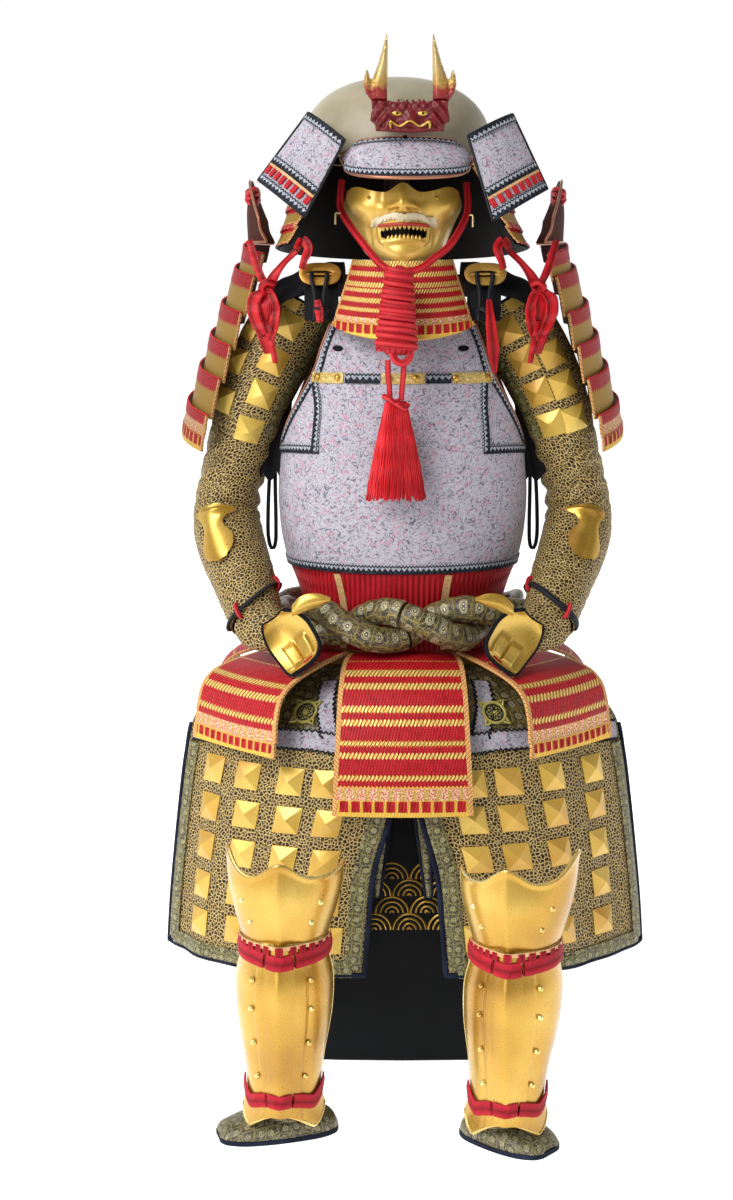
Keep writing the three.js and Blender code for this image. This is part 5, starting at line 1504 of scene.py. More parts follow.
def handSurface(side):
    def surface(u, v):
        along, inner, outer, lift = rowsAt(hand["rows"], 1 - v)
        s = 1 - 2 * (1 - u if side < 0 else u)
        place = np.array(hand["place"], float) + handAlong * along[...,
            None] + handAcross * (s * np.where(s > 0, inner, outer))[..., None]
        place = place - handFacing * (lift - hand["bow"] * s * s)[..., None]
        return place * np.array([side, 1, 1])
    return surface


def knuckles(side):
    def relief(u, v, x, y):
        s = 1 - 2 * (1 - u if side < 0 else u)
        height = 0 * u
        for centre in (0.30, -0.34):
            across = smoothStep(0.29 - np.abs(s - centre), 0, 0.07)
            along = smoothStep(v, 0.20, 0.26) * (1 - smoothStep(v, 0.52, 0.62))
            height = height + 5.5 * across * along
        groove = bump(v, 0.185, 0.014) * 2.2 * (np.abs(s) < 0.9)
        return height - groove
    return relief


def thumbSurface(side):
    def surface(u, v):
        x, z, half, y = rowsAt(hand["thumb"], v if side < 0 else 1 - v)
        s = 1 - 2 * u
        return np.stack([side * x, y + 5 * s * s, z + s * half], axis=-1)
    return surface


for side, name, title in bothSides:
    surface = handSurface(side)
    plate = panel("handGuard" + title, surface, 48, 60, hand["thick"], giltPlate, blackCloth, knuckles(side))
    stands(plate, "gold_plate", "hand_guard_" + name)
    edge = edgeLoop(surface, 24, 20)
    # widest along the inner side and the knuckles
    sizes = np.repeat([3.1 if side > 0 else 1.8, 1.2, 1.8 if side > 0 else 3.1, 3.1], (24, 19, 23, 18))
    border = tube("handBorder" + title, edge, sizes, blackCloth, 8, closed=True)
    stands(border, "black_cloth")
    lace = strip("handLace" + title, surface, [(0.42, 0.185), (0.66, 0.185)] if side < 0 else [(0.34, 0.185),
        (0.58, 0.185)], 4, tieSilk, -1.2, 1.6, 12)
    stands(lace, "red_silk")
    plate = panel("thumbGuard" + title, thumbSurface(side), 10, 24, 2.5, giltPlate, blackCloth)
    stands(plate, "gold_plate", "thumb_guard_" + name)
    # net cloth from the wrist down under the hand guard
    cuffRows = [(217, -131, 656, 40, 38), (208, -146, 653, 39, 31), (198, -160, 650, 35, 23),
                (188, -171, 648, 31, 15), (179, -179, 646, 27, 9)]

    def cuff(u, v, side=side, cuffRows=cuffRows):
        x, y, z, wide, deep = rowsAt(cuffRows, v)
        angle = 2 * math.pi * u * side
        path = unit(np.array([-0.62, -0.72, -0.2]))
        broad = unit(handAcross - path * np.dot(handAcross, path))
        tall = np.cross(path, broad)
        folds = 1 + 0.03 * np.sin(5 * angle + 9 * v)
        place = np.stack([x, y, z], axis=-1) + broad * (wide * folds * np.cos(angle))[...,
            None] + tall * (deep * folds * np.sin(angle))[..., None]
        return place * np.array([side, 1, 1])
    piece = panel("wristCloth" + title, cuff, 56, 20, 2.5, goldNet, blackCloth, ring=True)
    stands(piece, "gold_net_brocade")
    # black cloth that closes the gap under the arm
    def underarm(u, v, side=side):
        z = 870 + 205 * v
        inner = 158 + 16 * np.sin(math.pi * np.clip((1080 - z) / 420, 0, 1))
        outer = np.interp(z, [860, 930, 1000, 1075], [236, 214, 190, 160])
        fold = 3.5 * np.sin(14 * u + 3 * v) + 2 * np.sin(5 * v)
        return np.stack([side * (inner + (outer - inner) * (u if side > 0 else 1 - u)), -18 + fold + 0 * z,
                         z - 16 * np.abs(np.sin(9 * u)) * (1 - v)], axis=-1)
    piece = panel("underarmCloth" + title, underarm, 30, 30, 2, blackCloth, blackCloth)
    stands(piece, "black_cloth")
print("hands done")

# Throat guard
throatBands = [(0, goldLine), (9, redLace), (17, goldLine), (24, redLace), (33, goldLine), (40, redLace),
               (43, goldLine), (48, redLace),
               (57, goldLine), (64, redLace), (73, goldLine), (79, redLace), (88, patternBand), (97, hemEdge),
               (98, tabRow), (112, hemEdge)]
lacedThroat = lacedLames("redLacingOnThroatLames", 117.0, throatBands, pitch=3.4, tab=13.0, edge=5.0, zig=1.1)
piece = panel("throatGuard", arcSurface("throat"), 90, 66, 4, lacedThroat, antiqueGold,
              lameRelief(throatBands, 13.0, 0.8), smooth=60)
stands(piece, "red_lacing", "throat_guard")

# Mask: a plain laced half mask with a nose, an open mouth and short teeth
maskDress = {"mouthU": (0.352, 0.668), "mouthV": (0.345, 0.485), "arch": 0.05, "grid": (114, 99)}


def mouthPlace(u, v):  # how far inside the mouth opening, as a fraction of its half size
    (u0, u1), (v0, v1) = maskDress["mouthU"], maskDress["mouthV"]
    s = (u - (u0 + u1) / 2) / ((u1 - u0) / 2)
    middle = (v0 + v1) / 2 - maskDress["arch"] * 0.5 * (s * s)
    t = (v - middle) / ((v1 - v0) / 2)
    return s, t


def maskRelief(u, v, x, y):
    s, t = mouthPlace(u, v)
    degrees = np.degrees(math.radians(88) * (2 * u - 1))
    lip = 4.2 * bump(np.maximum(np.abs(s) - 1, 0) * 30 + np.maximum(np.abs(t) - 1, 0) * 7, 3.0,
                     3.4) * (np.abs(s) < 1.35)
    cheek = 6.5 * bump(np.abs(degrees), 47, 17) * bump(v, 0.73, 0.13)
    crease = -3.4 * bump(np.abs(degrees) - 26 - 22 * (0.75 - v), 0, 4.5) * bump(v, 0.52, 0.17)
    crease2 = -2.2 * bump(np.abs(degrees) - 38 - 20 * (0.7 - v), 0, 4.0) * bump(v, 0.40, 0.14)
    nostril = 5.2 * bump(np.abs(degrees), 10.5, 4.6) * bump(v, 0.715, 0.05)
    holes = -7.5 * bump(np.abs(degrees), 7.5, 2.6) * bump(v, 0.665, 0.022)
    bridge = 3.0 * bump(degrees, 0, 6) * smoothStep(v, 0.68, 0.9)
    sideNose = -3.6 * bump(np.abs(degrees), 20, 6) * smoothStep(v, 0.66, 0.85)
    chin = 5.0 * bump(degrees, 0, 24) * bump(v, 0.16, 0.1) - 2.6 * bump(v, 0.285, 0.035) * bump(degrees, 0, 30)
    return lip + cheek + crease + crease2 + nostril + holes + bridge + sideNose + chin


def inMouth(u, v):
    s, t = mouthPlace(u, v)
    return np.abs(s) ** 4 + np.abs(t) ** 4 < 1


maskPlate = panel("maskPlate", maskSurface, *maskDress["grid"], 2.6, giltMask, darkInside, maskRelief,
                  hole=inMouth, smooth=70)
stands(maskPlate, "gold_plate", "mask")


def maskFace(u, v):  # the mask's outer face with its relief
    return raised(maskSurface, u, v, maskRelief(u, v, u, v)[..., None])


(mouthLeft, mouthRight), (mouthLow, mouthHigh) = maskDress["mouthU"], maskDress["mouthV"]
teeth = []
for row, sign in ((0.97, -1), (-1.0, 1)):
    for k in range(11 if row > 0 else 9):
        span = 0.84 if row > 0 else 0.70
        s = -span + 2 * span * k / (10 if row > 0 else 8)
        u = (mouthLeft + mouthRight) / 2 + s * (mouthRight - mouthLeft) / 2
        v = (mouthLow + mouthHigh) / 2 - maskDress["arch"] * 0.5 * s * s + row * (mouthHigh - mouthLow) / 2
        root = maskFace(np.array([u]), np.array([v]))[0] + np.array([0, 1.2, 0])
        teeth.append(tube("tooth", [root + np.array([0, 0, -sign * 2.0]), root + np.array([0, 0, sign * 2.2]),
            root + np.array([0, 0.6, sign * 5.6])],
                          [2.7, 2.6, 0.5], giltMask, 8, flat=0.7, sideAxis=(1, 0, 0)))
stands(merged("maskTeeth", teeth), "gold_plate")
arch = np.linspace(-1.02, 1.02, 40)
lipU = (mouthLeft + mouthRight) / 2 + arch * (mouthRight - mouthLeft) / 2
lipV = mouthHigh - maskDress["arch"] * 0.5 * arch * arch + 0.018
lip = tube("maskUpperLip", maskFace(lipU, lipV) + slopes(maskSurface, lipU, lipV)[2] * 0.6,
           1.9 + 0.9 * np.sqrt(np.maximum(0, 1.04 - arch**2)), redPaint, 10)
stands(lip, "gold_plate")


def moustache(side):  # one lobe of short cream hair
    tufts = []
    middle = (mouthLeft + mouthRight) / 2
    for k in range(95):
        t = k / 94
        start = (t - 0.1) * 0.165
        u0 = middle + side * (0.001 + 1.12 * start)
        v0 = 0.60 + 0.035 * math.sin(math.pi * min(1, t * 1.3)) - 0.03 * t + 0.018 * (random.random() - 0.5)
        line = []
        for w in np.linspace(0, 1, 5):
            u = u0 + side * (0.012 + 0.035 * w * (0.5 + t))
            v = v0 - (0.078 + 0.02 * random.random()) * w * (0.75 + 0.5 * t)
            place = maskFace(np.array([u]), np.array([v]))[0]
            out = slopes(maskSurface, np.array([u]), np.array([v]))[2][0]
            line.append(place + out * (1.0 + 3.4 * math.sin(math.pi * (0.25 + 0.75 * w))))
        tufts.append(line)
    return tufts


stands(tubes("maskMoustache", moustache(-1) + moustache(1), np.array([1.0, 1.5, 1.5, 1.1, 0.3]), creamHair, 5),
       "helmet_lacquer")
rivets = scattered("maskRivets", domePattern(6, 6, 2.4), placesOn(maskFace, [(0.31, 0.86), (0.69, 0.86)], 0.3),
                   giltPlate)
stands(rivets, "gold_plate")
hooks = []
for side, points in ((-1, [(-84, -97, 1252), (-97, -100, 1252.5), (-98, -101, 1251), (-98, -101, 1236)]),
                     (1, [(88, -92, 1249), (101, -96, 1250), (102, -97, 1248.5), (102, -97, 1232)])):
    hooks.append(tube("cordHook", points, 1.7, paleMetal, 8))
stands(merged("maskHooks", hooks), "gold_plate")
print("mask done")

# Helmet
piece = panel("helmetBowl", bowlSurface, 96, 36, 4, creamLacquer, darkInside, ring=True)
stands(piece, "helmet_lacquer", "helmet_bowl")
turn = np.linspace(0, 1, 97)[:-1]
rim = tube("bowlRim", bowlSurface(turn, np.full(96, 0.004)) + np.array([0, 0, 1.5]), 3.0, copperRim, 8, closed=True)
stands(rim, "gold_plate")
visor = arcSurface("visor")
piece = panel("visorCloth", visor, 80, 30, 3.5, greyDamask, darkInside)
stands(piece, "grey_damask", "visor")
braids = [strip("visorBraid", visor, [(0.03, 0.11), (0.5, 0.11), (0.97, 0.11)], 12, zigzagTrim, count=70),
          strip("visorBraid", visor, [(0.97, 0.88), (0.5, 0.88), (0.03, 0.88)], 11, zigzagTrim, count=70)]
stands(merged("visorBraids", braids), "grey_damask")
stands(tube("visorRim", edgeLoop(visor, 20, 60), 2.6, copperRim, 8, closed=True), "gold_plate")
pin = scattered("visorPin", domePattern(7, 9, 4), placesOn(visor, [(0.485, 0.93)], 1.5), blackLacquer)
stands(pin, "black_cloth")

tabSilk = braidedSilk("redTabSilk", "#cc1620", "#7d090f", "#e4424a", 3.4, 3.0)


def padPattern(wide, tall, thick):  # a small rounded cushion of silk
    bpy.ops.mesh.primitive_cube_add(size=1)
    pad = bpy.context.object
    for vertex in pad.data.vertices:
        vertex.co = (vertex.co.x * wide / 1000, vertex.co.y * tall / 1000, vertex.co.z * thick / 1000)
    applyModifier(pad, "BEVEL", width=thick * 0.42 / 1000, segments=2)
    return pad


for side, name, title in bothSides:
    surface = wingSurface(side)
    piece = panel("turnedWing" + title, surface, 40, 40, 3.5, greyDamask, darkInside)
    stands(piece, "grey_damask", "turned_wing_" + name)
    braids = [strip("wingBraid", surface, [(0.98, v), (0.02, v)] if flip else [(0.02, v), (0.98, v)], wide,
                    zigzagTrim, count=50)
              for v, wide, flip in ((0.045, 13, False), (0.315, 13, False), (0.95, 12, True))]
    stands(merged("wingBraids" + title, braids), "grey_damask")
    tabs = placesOn(surface, [(0.07 + 0.86 * k / 7, 0.172) for k in range(8)], 1.2)
    stands(scattered("wingTabs" + title, padPattern(8.5, 13.5, 3.4), tabs, tabSilk), "red_lacing")
    line = strip("wingLine" + title, surface, [(0.02, 0.243), (0.98, 0.243)], 4, plaitedTape, 0.8, 0.9, 50)
    stands(line, "gold_net_brocade")
    stands(tube("wingRim" + title, edgeLoop(surface, 24, 24), 2.0, blackCord, 8, closed=True), "black_cloth")

# neck guard: five laced gilt lames, dark inside
lameCount = 5
neckBands = [(0, redLace), (10, plainGold), (26, goldLine)]
neckLame = lacedLames("redLacingOnNeckLames", 29.0, neckBands, pitch=4.0, edge=4.0)
lames = []
for k in range(lameCount):
    top, low = 1 - k / lameCount, 1 - (k + 1.12) / lameCount
    base = patch(neckSurface, (0.0, max(low, 0.0)), (1.0, top))

    def lame(u, v, base=base, k=k):
        return raised(base, u, v, (0.4 + 3.6 * (1 - v))[..., None])

    lames.append(panel("neckLame", lame, 84, 11, 2.2, neckLame, darkInside, lameRelief(neckBands, 12.0, 0.7)))
stands(merged("neckGuard", lames), "red_lacing", "neck_guard")
lining = panel("neckLining", patch(neckSurface, (0.004, 0.006), (0.996, 0.994), -1.6), 60, 10, 1.2, darkInside)
stands(lining, "black_cloth")
print("helmet done")

# Crest: a beast's head with two tall forked horns, cast in relief
crest = {"x": 10, "front": -188, "back": -173, "low": 1360, "hornFront": -185, "hornBack": -176,
         "head": [(0, 0), (48, 3), (49, 12), (56, 17), (53, 34), (54, 44), (30, 44), (22, 42), (0, 42)],
         "horn": [(32, 44.5), (54, 44.5), (62, 54), (65, 66), (64, 77), (60.5, 87), (58, 83), (56, 74), (52, 74),
                  (50, 80), (44, 96),
                  (37, 120), (32, 139), (31, 120)]}


def headHeight(x, z):  # relief of the beast's face, millimetres, x from its middle
    a = np.abs(x)
    brow = 4.0 * bump(z - 33 - 3.5 * np.cos(a / 7), 0, 3.6) * smoothStep(46 - a, 0, 8) * smoothStep(a, 4, 9)
    eyes = 3.6 * bump(np.hypot((a - 18) / 1.9, z - 26 + 0.06 * (a - 18)), 0, 4.2)
    snout = 6.0 * bump(a, 0, 9) * bump(z, 21, 9) + 4.0 * bump(a, 8, 4.5) * bump(z, 16, 4)
    lip = 2.8 * bump(z - 12 - 3.2 * np.cos(x / 4.6) - 0.02 * x, 0, 2.6) * (a < 27)
    cheek = 4.6 * bump(np.hypot(a - 34, z - 18), 0, 8) + 2.2 * np.sin(a / 2.6 + z / 3.2) * smoothStep(a, 26, 34)
    scales = 0.9 * np.sin(a / 1.9) * np.sin(z / 2.1)
    jaw = 2.2 * bump(z, 4, 3)
    return brow + eyes + snout + lip + cheek + scales + jaw


def insideOutline(x, z, outline):
    inside = np.zeros(len(x), bool)
    n = len(outline)
    for i in range(n):
        (x1, z1), (x2, z2) = outline[i], outline[(i + 1) % n]
        inside ^= ((z1 > z) != (z2 > z)) & (x < (x2 - x1) * (z - z1) / (z2 - z1 + 1e-9) + x1)
    return inside


# fills an outline with small squares, raised by relief(x, z)
def plateFrom(name, outline, frontY, backY, relief, material, step):
    ring = np.array(outline, float)
    low, high = ring.min(axis=0), ring.max(axis=0)
    nx, nz = [int(math.ceil((high[i] - low[i]) / step)) for i in (0, 1)]
    xs, zs = np.linspace(low[0], high[0], nx + 1), np.linspace(low[1], high[1], nz + 1)
    gx, gz = np.meshgrid(xs, zs)
    flat = np.stack([gx.ravel(), gz.ravel()], axis=1)
    # pull points just outside the outline on to it
    a, b = ring, np.roll(ring, -1, axis=0)
    away = flat[:, None] - a[None]
    span = b - a
    t = np.clip((away * span).sum(-1) / np.maximum((span**2).sum(-1), 1e-9), 0, 1)
    nearest = a[None] + t[..., None] * span[None]
    gap = np.linalg.norm(flat[:, None] - nearest, axis=-1)
    closest = np.arange(len(flat)), gap.argmin(axis=1)
    close, distance = nearest[closest], gap[closest]
    inside = insideOutline(flat[:, 0], flat[:, 1], ring)
    cx = (gx[:-1, :-1] + gx[1:, 1:]) / 2
    cz = (gz[:-1, :-1] + gz[1:, 1:]) / 2
    middle = insideOutline(cx.ravel(), cz.ravel(), ring).reshape(cx.shape)
    snapped = flat.copy()
    move = (~inside) | (distance < step * 0.45)
    snapped[move] = close[move]
    faces = []
    for i, j in np.argwhere(middle):
        corner = int(i * (nx + 1) + j)
        faces.append((corner, corner + 1, corner + nx + 2, corner + nx + 1))
    names = sorted({k for face in faces for k in face})
    index = {k: n for n, k in enumerate(names)}
    faces = [tuple(index[k] for k in face) for face in faces]
    points = snapped[names]
    edgeGap = np.minimum(np.where(inside, distance, 0)[names] / 4.0, 1) ** 0.5
    rise = relief(points[:, 0], points[:, 1]) * edgeGap
    frontPoints = np.stack([crest["x"] + points[:, 0], frontY - rise + (1 - edgeGap) * 2.0,
                            crest["low"] + points[:, 1]], axis=1)
    backPoints = np.stack([crest["x"] + points[:, 0], np.full(len(points), backY), crest["low"] + points[:, 1]],
                          axis=1)
    n = len(points)
    edges = [(face[k], face[(k + 1) % 4]) for face in faces for k in range(4)]
    directed = set(edges)
    walls = [(q, p, p + n, q + n) for p, q in edges if (q, p) not in directed]
    allFaces = faces + [tuple(k + n for k in face[::-1]) for face in faces] + walls
    piece = meshPiece(name, np.concatenate([frontPoints, backPoints]), allFaces, material, None, 60)
    editWhole(("remove_doubles", {"threshold": weldGap}), ("dissolve_degenerate", {"threshold": weldGap}),
              ("normals_make_consistent", {"inside": False}))
    return piece


headOutline = [(-x, z) for x, z in crest["head"][::-1]] + crest["head"][1:]
headOutline = headOutline + [(22, 42), (19, 46.5), (16, 42.5), (12, 47), (9, 42), (4, 46), (0, 41.5), (-4, 46),
                             (-9, 42), (-12, 47), (-16, 42.5), (-19, 46.5), (-22, 42)]
piece = plateFrom("crestHead", list(dict.fromkeys(headOutline)), crest["front"] + 1, crest["back"], headHeight,
                  crestLacquer, 1.5)
stands(piece, "crest_lacquer", "crest_head")
gilding = []
for side in (-1, 1):
    centre = np.array([crest["x"] + side * 18, crest["front"] - 2.6, crest["low"] + 26])
    eyeAxes, pupilAxes = (np.array([1.0, 0, 0.06 * side]), up, front), (np.array([1.0, 0, 0]), up, front)
    gilding.append(scattered("crestEye", domePattern(15, 7, 3.4), [(centre, *eyeAxes)], giltPlate))
    gilding.append(scattered("crestPupil", domePattern(3.4, 4.2, 2.0, 10, 4), [(centre + front * 2.6, *pupilAxes)],
                             darkInside))
lipX = np.linspace(-27, 27, 60)
lipZ = 12 + 3.2 * np.cos(lipX / 4.6)
lipLine = np.stack([crest["x"] + lipX, crest["front"] - 2.4 - headHeight(lipX, lipZ) * 0.55, crest["low"] + lipZ],
                   axis=1)
gilding.append(tube("crestLip", lipLine, 1.5, giltPlate, 8))
for side in (-1, 1):
    gilding.append(tube("crestTusk", [(crest["x"] + side * 27, crest["front"] - 4, crest["low"] + 15),
        (crest["x"] + side * 28, crest["front"] - 5, crest["low"] + 10),
        (crest["x"] + side * 27, crest["front"] - 4, crest["low"] + 5)], [2.4, 2.2, 0.5], giltPlate, 8))
stands(merged("crestGilding", gilding), "gold_plate")


def hornHeight(x, z):
    a = np.abs(x)
    centre = np.interp(z, [44, 60, 74, 100, 139], [40, 43, 41, 36, 31.5])
    width = np.interp(z, [44, 60, 74, 100, 139], [10, 11, 9, 6, 2])
    body = 4.4 * np.sqrt(np.maximum(0, 1 - ((a - centre) / width) ** 2))
    ribs = 1.6 * np.abs(np.sin((z - 0.55 * (a - 50)) / 1.9)) * (a > 49) * (z < 77)
    spur = 3.0 * bump(a, 61, 4) * (z > 50)
    return body + ribs + spur


hornGilt, tree, shader = newMaterial("giltHornOverRedLacquer")
_, _, zed = split(tree, coordinates(tree, "object"))
rise = times(tree, maths(tree, "SUBTRACT", zed, (crest["low"] + 46) / 1000), 1000 / 40)
rise = plus(tree, rise, times(tree, maths(tree, "SUBTRACT", noise(tree, coordinates(tree, "object"), 7, 2), 0.5),
                              0.6))
colour = ramp(tree, rise, [(0.0, "#7d1218"), (0.3, "#8f2a20"), (0.55, "#b38d48"), (1.0, "#c6ad74")])
dress(tree, shader, colour, 0.42, ramp(tree, rise, [(0.2, 0.0), (0.6, 0.5)]),
      noise(tree, coordinates(tree, "object"), 4, 2), 0.15)
for side, name, title in bothSides:
    outline = [(side * x, z) for x, z in crest["horn"]]
    piece = plateFrom("crestHorn" + title, outline, crest["hornFront"] + 2, crest["hornBack"], hornHeight,
                      hornGilt, 1.5)
    stands(piece, "gold_plate", "crest_horn_" + name)
print("crest done")


# Shoulder guards: six gilt lames, each hung a step outside the one above
lameSteps = [1.0, 0.884, 0.716, 0.545, 0.374, 0.185, 0.0]
shoulderBands = [(0, redLace), (20, plainGold)]
lowBands = [(0, redLace), (15, patternBand), (30, redLace), (33, tabRow), (47, hemEdge)]
shoulderLames = {side: (lacedLames("redLacingOnShoulderLames" + title, 60.0, shoulderBands, pitch=4.6, edge=3.0,
    zig=2.4, paintedShadeFactor=paintedShadeFactor),
                        lacedLames("lowestShoulderLameWithPaintedShade" + title, 56.0, lowBands, pitch=4.6, tab=15.0, edge=5.0,
                            zig=2.0, paintedShadeFactor=paintedShadeFactor))
                 # painted shade: both guards' colour and metal are darkened, the left one more, as the left guard
                 # turns its face from the light
                 for side, title, paintedShadeFactor in ((-1, "Left", 0.62), (1, "Right", 0.85))}


def steppedLame(surface, top, low, side):  # each lame stands out at its top and hangs lower towards the front
    base = patch(surface, (0.0, low), (1.0, top))

    def lame(u, v):
        place = raised(base, u, v, (0.5 + 8.0 * v)[..., None])
        place[..., 2] -= 14 * (1 - 2 * u) * side
        return place
    return lame


for side, name, title in bothSides:
    surface = shoulderSurface(side)
    lames = []
    for k in range(6):
        isLast = k == 5
        bands = lowBands if isLast else shoulderBands
        lame = steppedLame(surface, lameSteps[k], max(lameSteps[k + 1] - (0.0 if isLast else 0.012), 0), side)
        lames.append(panel("shoulderLame", lame, 60, 20, 3.2, shoulderLames[side][int(isLast)], brownLacquer,
                           lameRelief(bands, 15.0, 0.8)))
        top = edgePoints(lame, ("v", 1.0), 0, 1, 84, -0.6)
        top[:, 2] += 1.3 * np.abs(np.sin(np.arange(84) * 2.1))
        lames.append(tube("lameEdge", top, 1.5, redSilk, 6))
    stands(merged("shoulderGuard" + title, lames), "red_lacing", "shoulder_guard_" + name)
    board = boardSurface(side)
    piece = panel("shoulderBoard" + title, board, 40, 16, 4, brownLacquer, brownLacquer)
    stands(piece, "brown_lacquer", "shoulder_board_" + name)
    stands(tube("boardRim" + title, edgeLoop(board, 12, 40), 2.3, copperRim, 8, closed=True), "gold_plate")
print("shoulder guards done")

# Ribbons: flat red tapes tied in loops
ribbonRows = {
    "shoulder": [(156, -88, 1198, 5), (176, -96, 1178, 6), (194, -102, 1150, 9), (204, -105, 1118, 14),
                 (203, -105, 1088, 13), (196, -104, 1050, 8)],
    "left": [(124, -126, 1128, 4), (121, -134, 1110, 7), (120, -137, 1096, 5)],
    "right": [(125, -126, 1128, 4), (127, -136, 1098, 8), (131, -134, 1060, 10), (134, -130, 1022, 3)],
}


def tape(name, rows, side, waves=1.5):  # x, y, z and half width
    count = 48
    places = curveThrough([(side * x, y, z) for x, y, z, _ in rows], count)
    walk = np.linspace(0, 1, count)
    half = np.interp(walk, np.linspace(0, 1, len(rows)), np.array(rows, float)[:, 3])
    places[:, 1] += waves * np.sin(walk * 19)
    return tube(name, places, half, ribbonSilk, 12, flat=0.16, sideAxis=(0.96, 0.28 * side, 0.05), square=0.4)


ribbonSilk = braidedSilk("redSilkRibbon", "#b80d16", "#6a060b", "#d0252e", 11.0, 90.0, 0.5)
for side, name, title in bothSides:
    main = tape("shoulderRibbon" + title, ribbonRows["shoulder"], side, waves=3)
    stands(main, "red_silk", "shoulder_ribbon_" + name)
    loops = [tape("ribbonLoop", [(156, -90, 1200, 5), (146, -104, 1214, 6), (137, -110, 1202, 7),
                                 (143, -106, 1186, 6), (147, -102, 1172, 5)], side),
             tape("ribbonFold", [(198, -108, 1146, 7), (217, -110, 1126, 10), (214, -112, 1098, 10),
                                 (203, -113, 1078, 7)], side, waves=2),
             tape("ribbonFold", [(196, -109, 1142, 7), (186, -111, 1118, 8), (188, -112, 1092, 8),
                                 (194, -111, 1066, 5)], side, waves=2),
             tape("ribbonTail", [(200, -110, 1096, 6), (193, -113, 1072, 6), (189, -114, 1052, 5),
                                 (186, -113, 1036, 4)], side),
             tape("ribbonTop", [(200, -102, 1148, 6), (212, -92, 1172, 6), (222, -76, 1202, 6),
                                (226, -66, 1214, 5)], side)]
    knotBall = tube("ribbonKnot", curveThrough([(side * 188, -106, 1150), (side * 197, -111, 1153),
        (side * 206, -109, 1146), (side * 200, -104, 1138), (side * 190, -106, 1142)], 20), 5.5, ribbonSilk, 8,
        flat=0.7)
    stands(merged("shoulderBow" + title, loops + [knotBall]), "red_silk")
    strap = tape("strapRibbon" + title, ribbonRows[name], side, waves=1.0)
    stands(strap, "red_silk", "strap_ribbon_" + name)
    # a wide tie of three cords round the top of the shoulder board
    bands = []
    for k, (z, half) in enumerate([(1287, 13), (1280, 13), (1272, 14)]):
        ring = [(side * (226 + (9 if side > 0 else 0) + half * 0.62 * math.cos(t)), 18 + 34 * math.sin(t),
                 z + 4 * math.sin(2 * t + k)) for t in np.linspace(0, 2 * math.pi, 30)[:-1]]
        bands.append(tube("boardTie", ring, 3.6, tieSilk, 8, closed=True))
    stands(merged("boardTies" + title, bands), "red_silk")
print("ribbons done")


# Slotted gilt buckles on the straps, with black lashings down to the breast
def buckle(side, title):
    centre = np.array([side * 121, -92.0, 1166])
    across = np.array([1.0, 0, 0])
    along = unit(np.array([0, 0.42, 0.91]))
    outward = unit(np.cross(across, along))
    turn = np.linspace(0, 2 * math.pi, 49)[:-1]
    squared = [(np.sign(math.cos(t)) * abs(math.cos(t)) ** 0.7 * 24,
                (np.sign(math.sin(t)) * abs(math.sin(t)) ** 0.8) * (10 if math.sin(t) > 0 else 13)) for t in turn]
    ring = [centre + across * a + along * b for a, b in squared]
    frameRing = tube("buckleRing", ring, 1.5, buckleGilt, 12, closed=True, flat=4.4, sideAxis=outward, square=0.3,
                     smooth=35)
    bar = tube("buckleBar", [centre - across * 21 - along * 2 + outward * 1.5,
                             centre + across * 21 - along * 2 + outward * 1.5], 1.9, buckleGilt, 10)
    stands(merged("strapBuckle" + title, [frameRing, bar]), "gold_plate", "strap_buckle_" + title.lower())
    lashes = []
    for k, start in enumerate((-12, 10)):
        top = centre + across * start - along * 2
        low = np.array([side * 119 + (-9 if k == 0 else 7), -124, 1098])
        line = curveThrough([top + outward * 3, top + outward * 5 - along * 10,
                             (top + low) / 2 + np.array([(-1) ** k * 3, -8, 0]), low], 30)
        lashes.append(tube("lash", line, 3.4, blackCord, 8))
    tie = [np.array([side * 119 + 9 * math.cos(t), -125 + 6 * math.sin(t),
                     1112 + 3 * math.sin(2 * t)]) for t in np.linspace(0, 2 * math.pi, 24)[:-1]]
    lashes.append(tube("lashTie", tie, 3.4, blackCord, 8, closed=True))
    stands(merged("strapLashing" + title, lashes), "black_cloth")


buckleGilt = giltSheet("orangeGiltBuckle", "#c28b35", "#8a5a1e", "#e8bd62", 0.3)
buckle(-1, "Left")
buckle(1, "Right")

# black cloth over each shoulder, from the collar to the sleeve head
for side, _, title in bothSides:
    def yoke(u, v, side=side):
        t = 1 - u if side < 0 else u
        s = 2 * v - 1
        fold = 2.0 * np.sin(5 * t + 9 * v) + 1.2 * np.sin(21 * t - 4 * v)
        return np.stack([side * (88 + 126 * t), -6 + 84 * s, 1186 - 50 * t**1.7 - 34 * np.abs(s) ** 2.4 + fold],
                        axis=-1)
    piece = panel("shoulderCloth" + title, yoke, 30, 34, 2.5, blackCloth, blackCloth)
    stands(piece, "black_cloth")


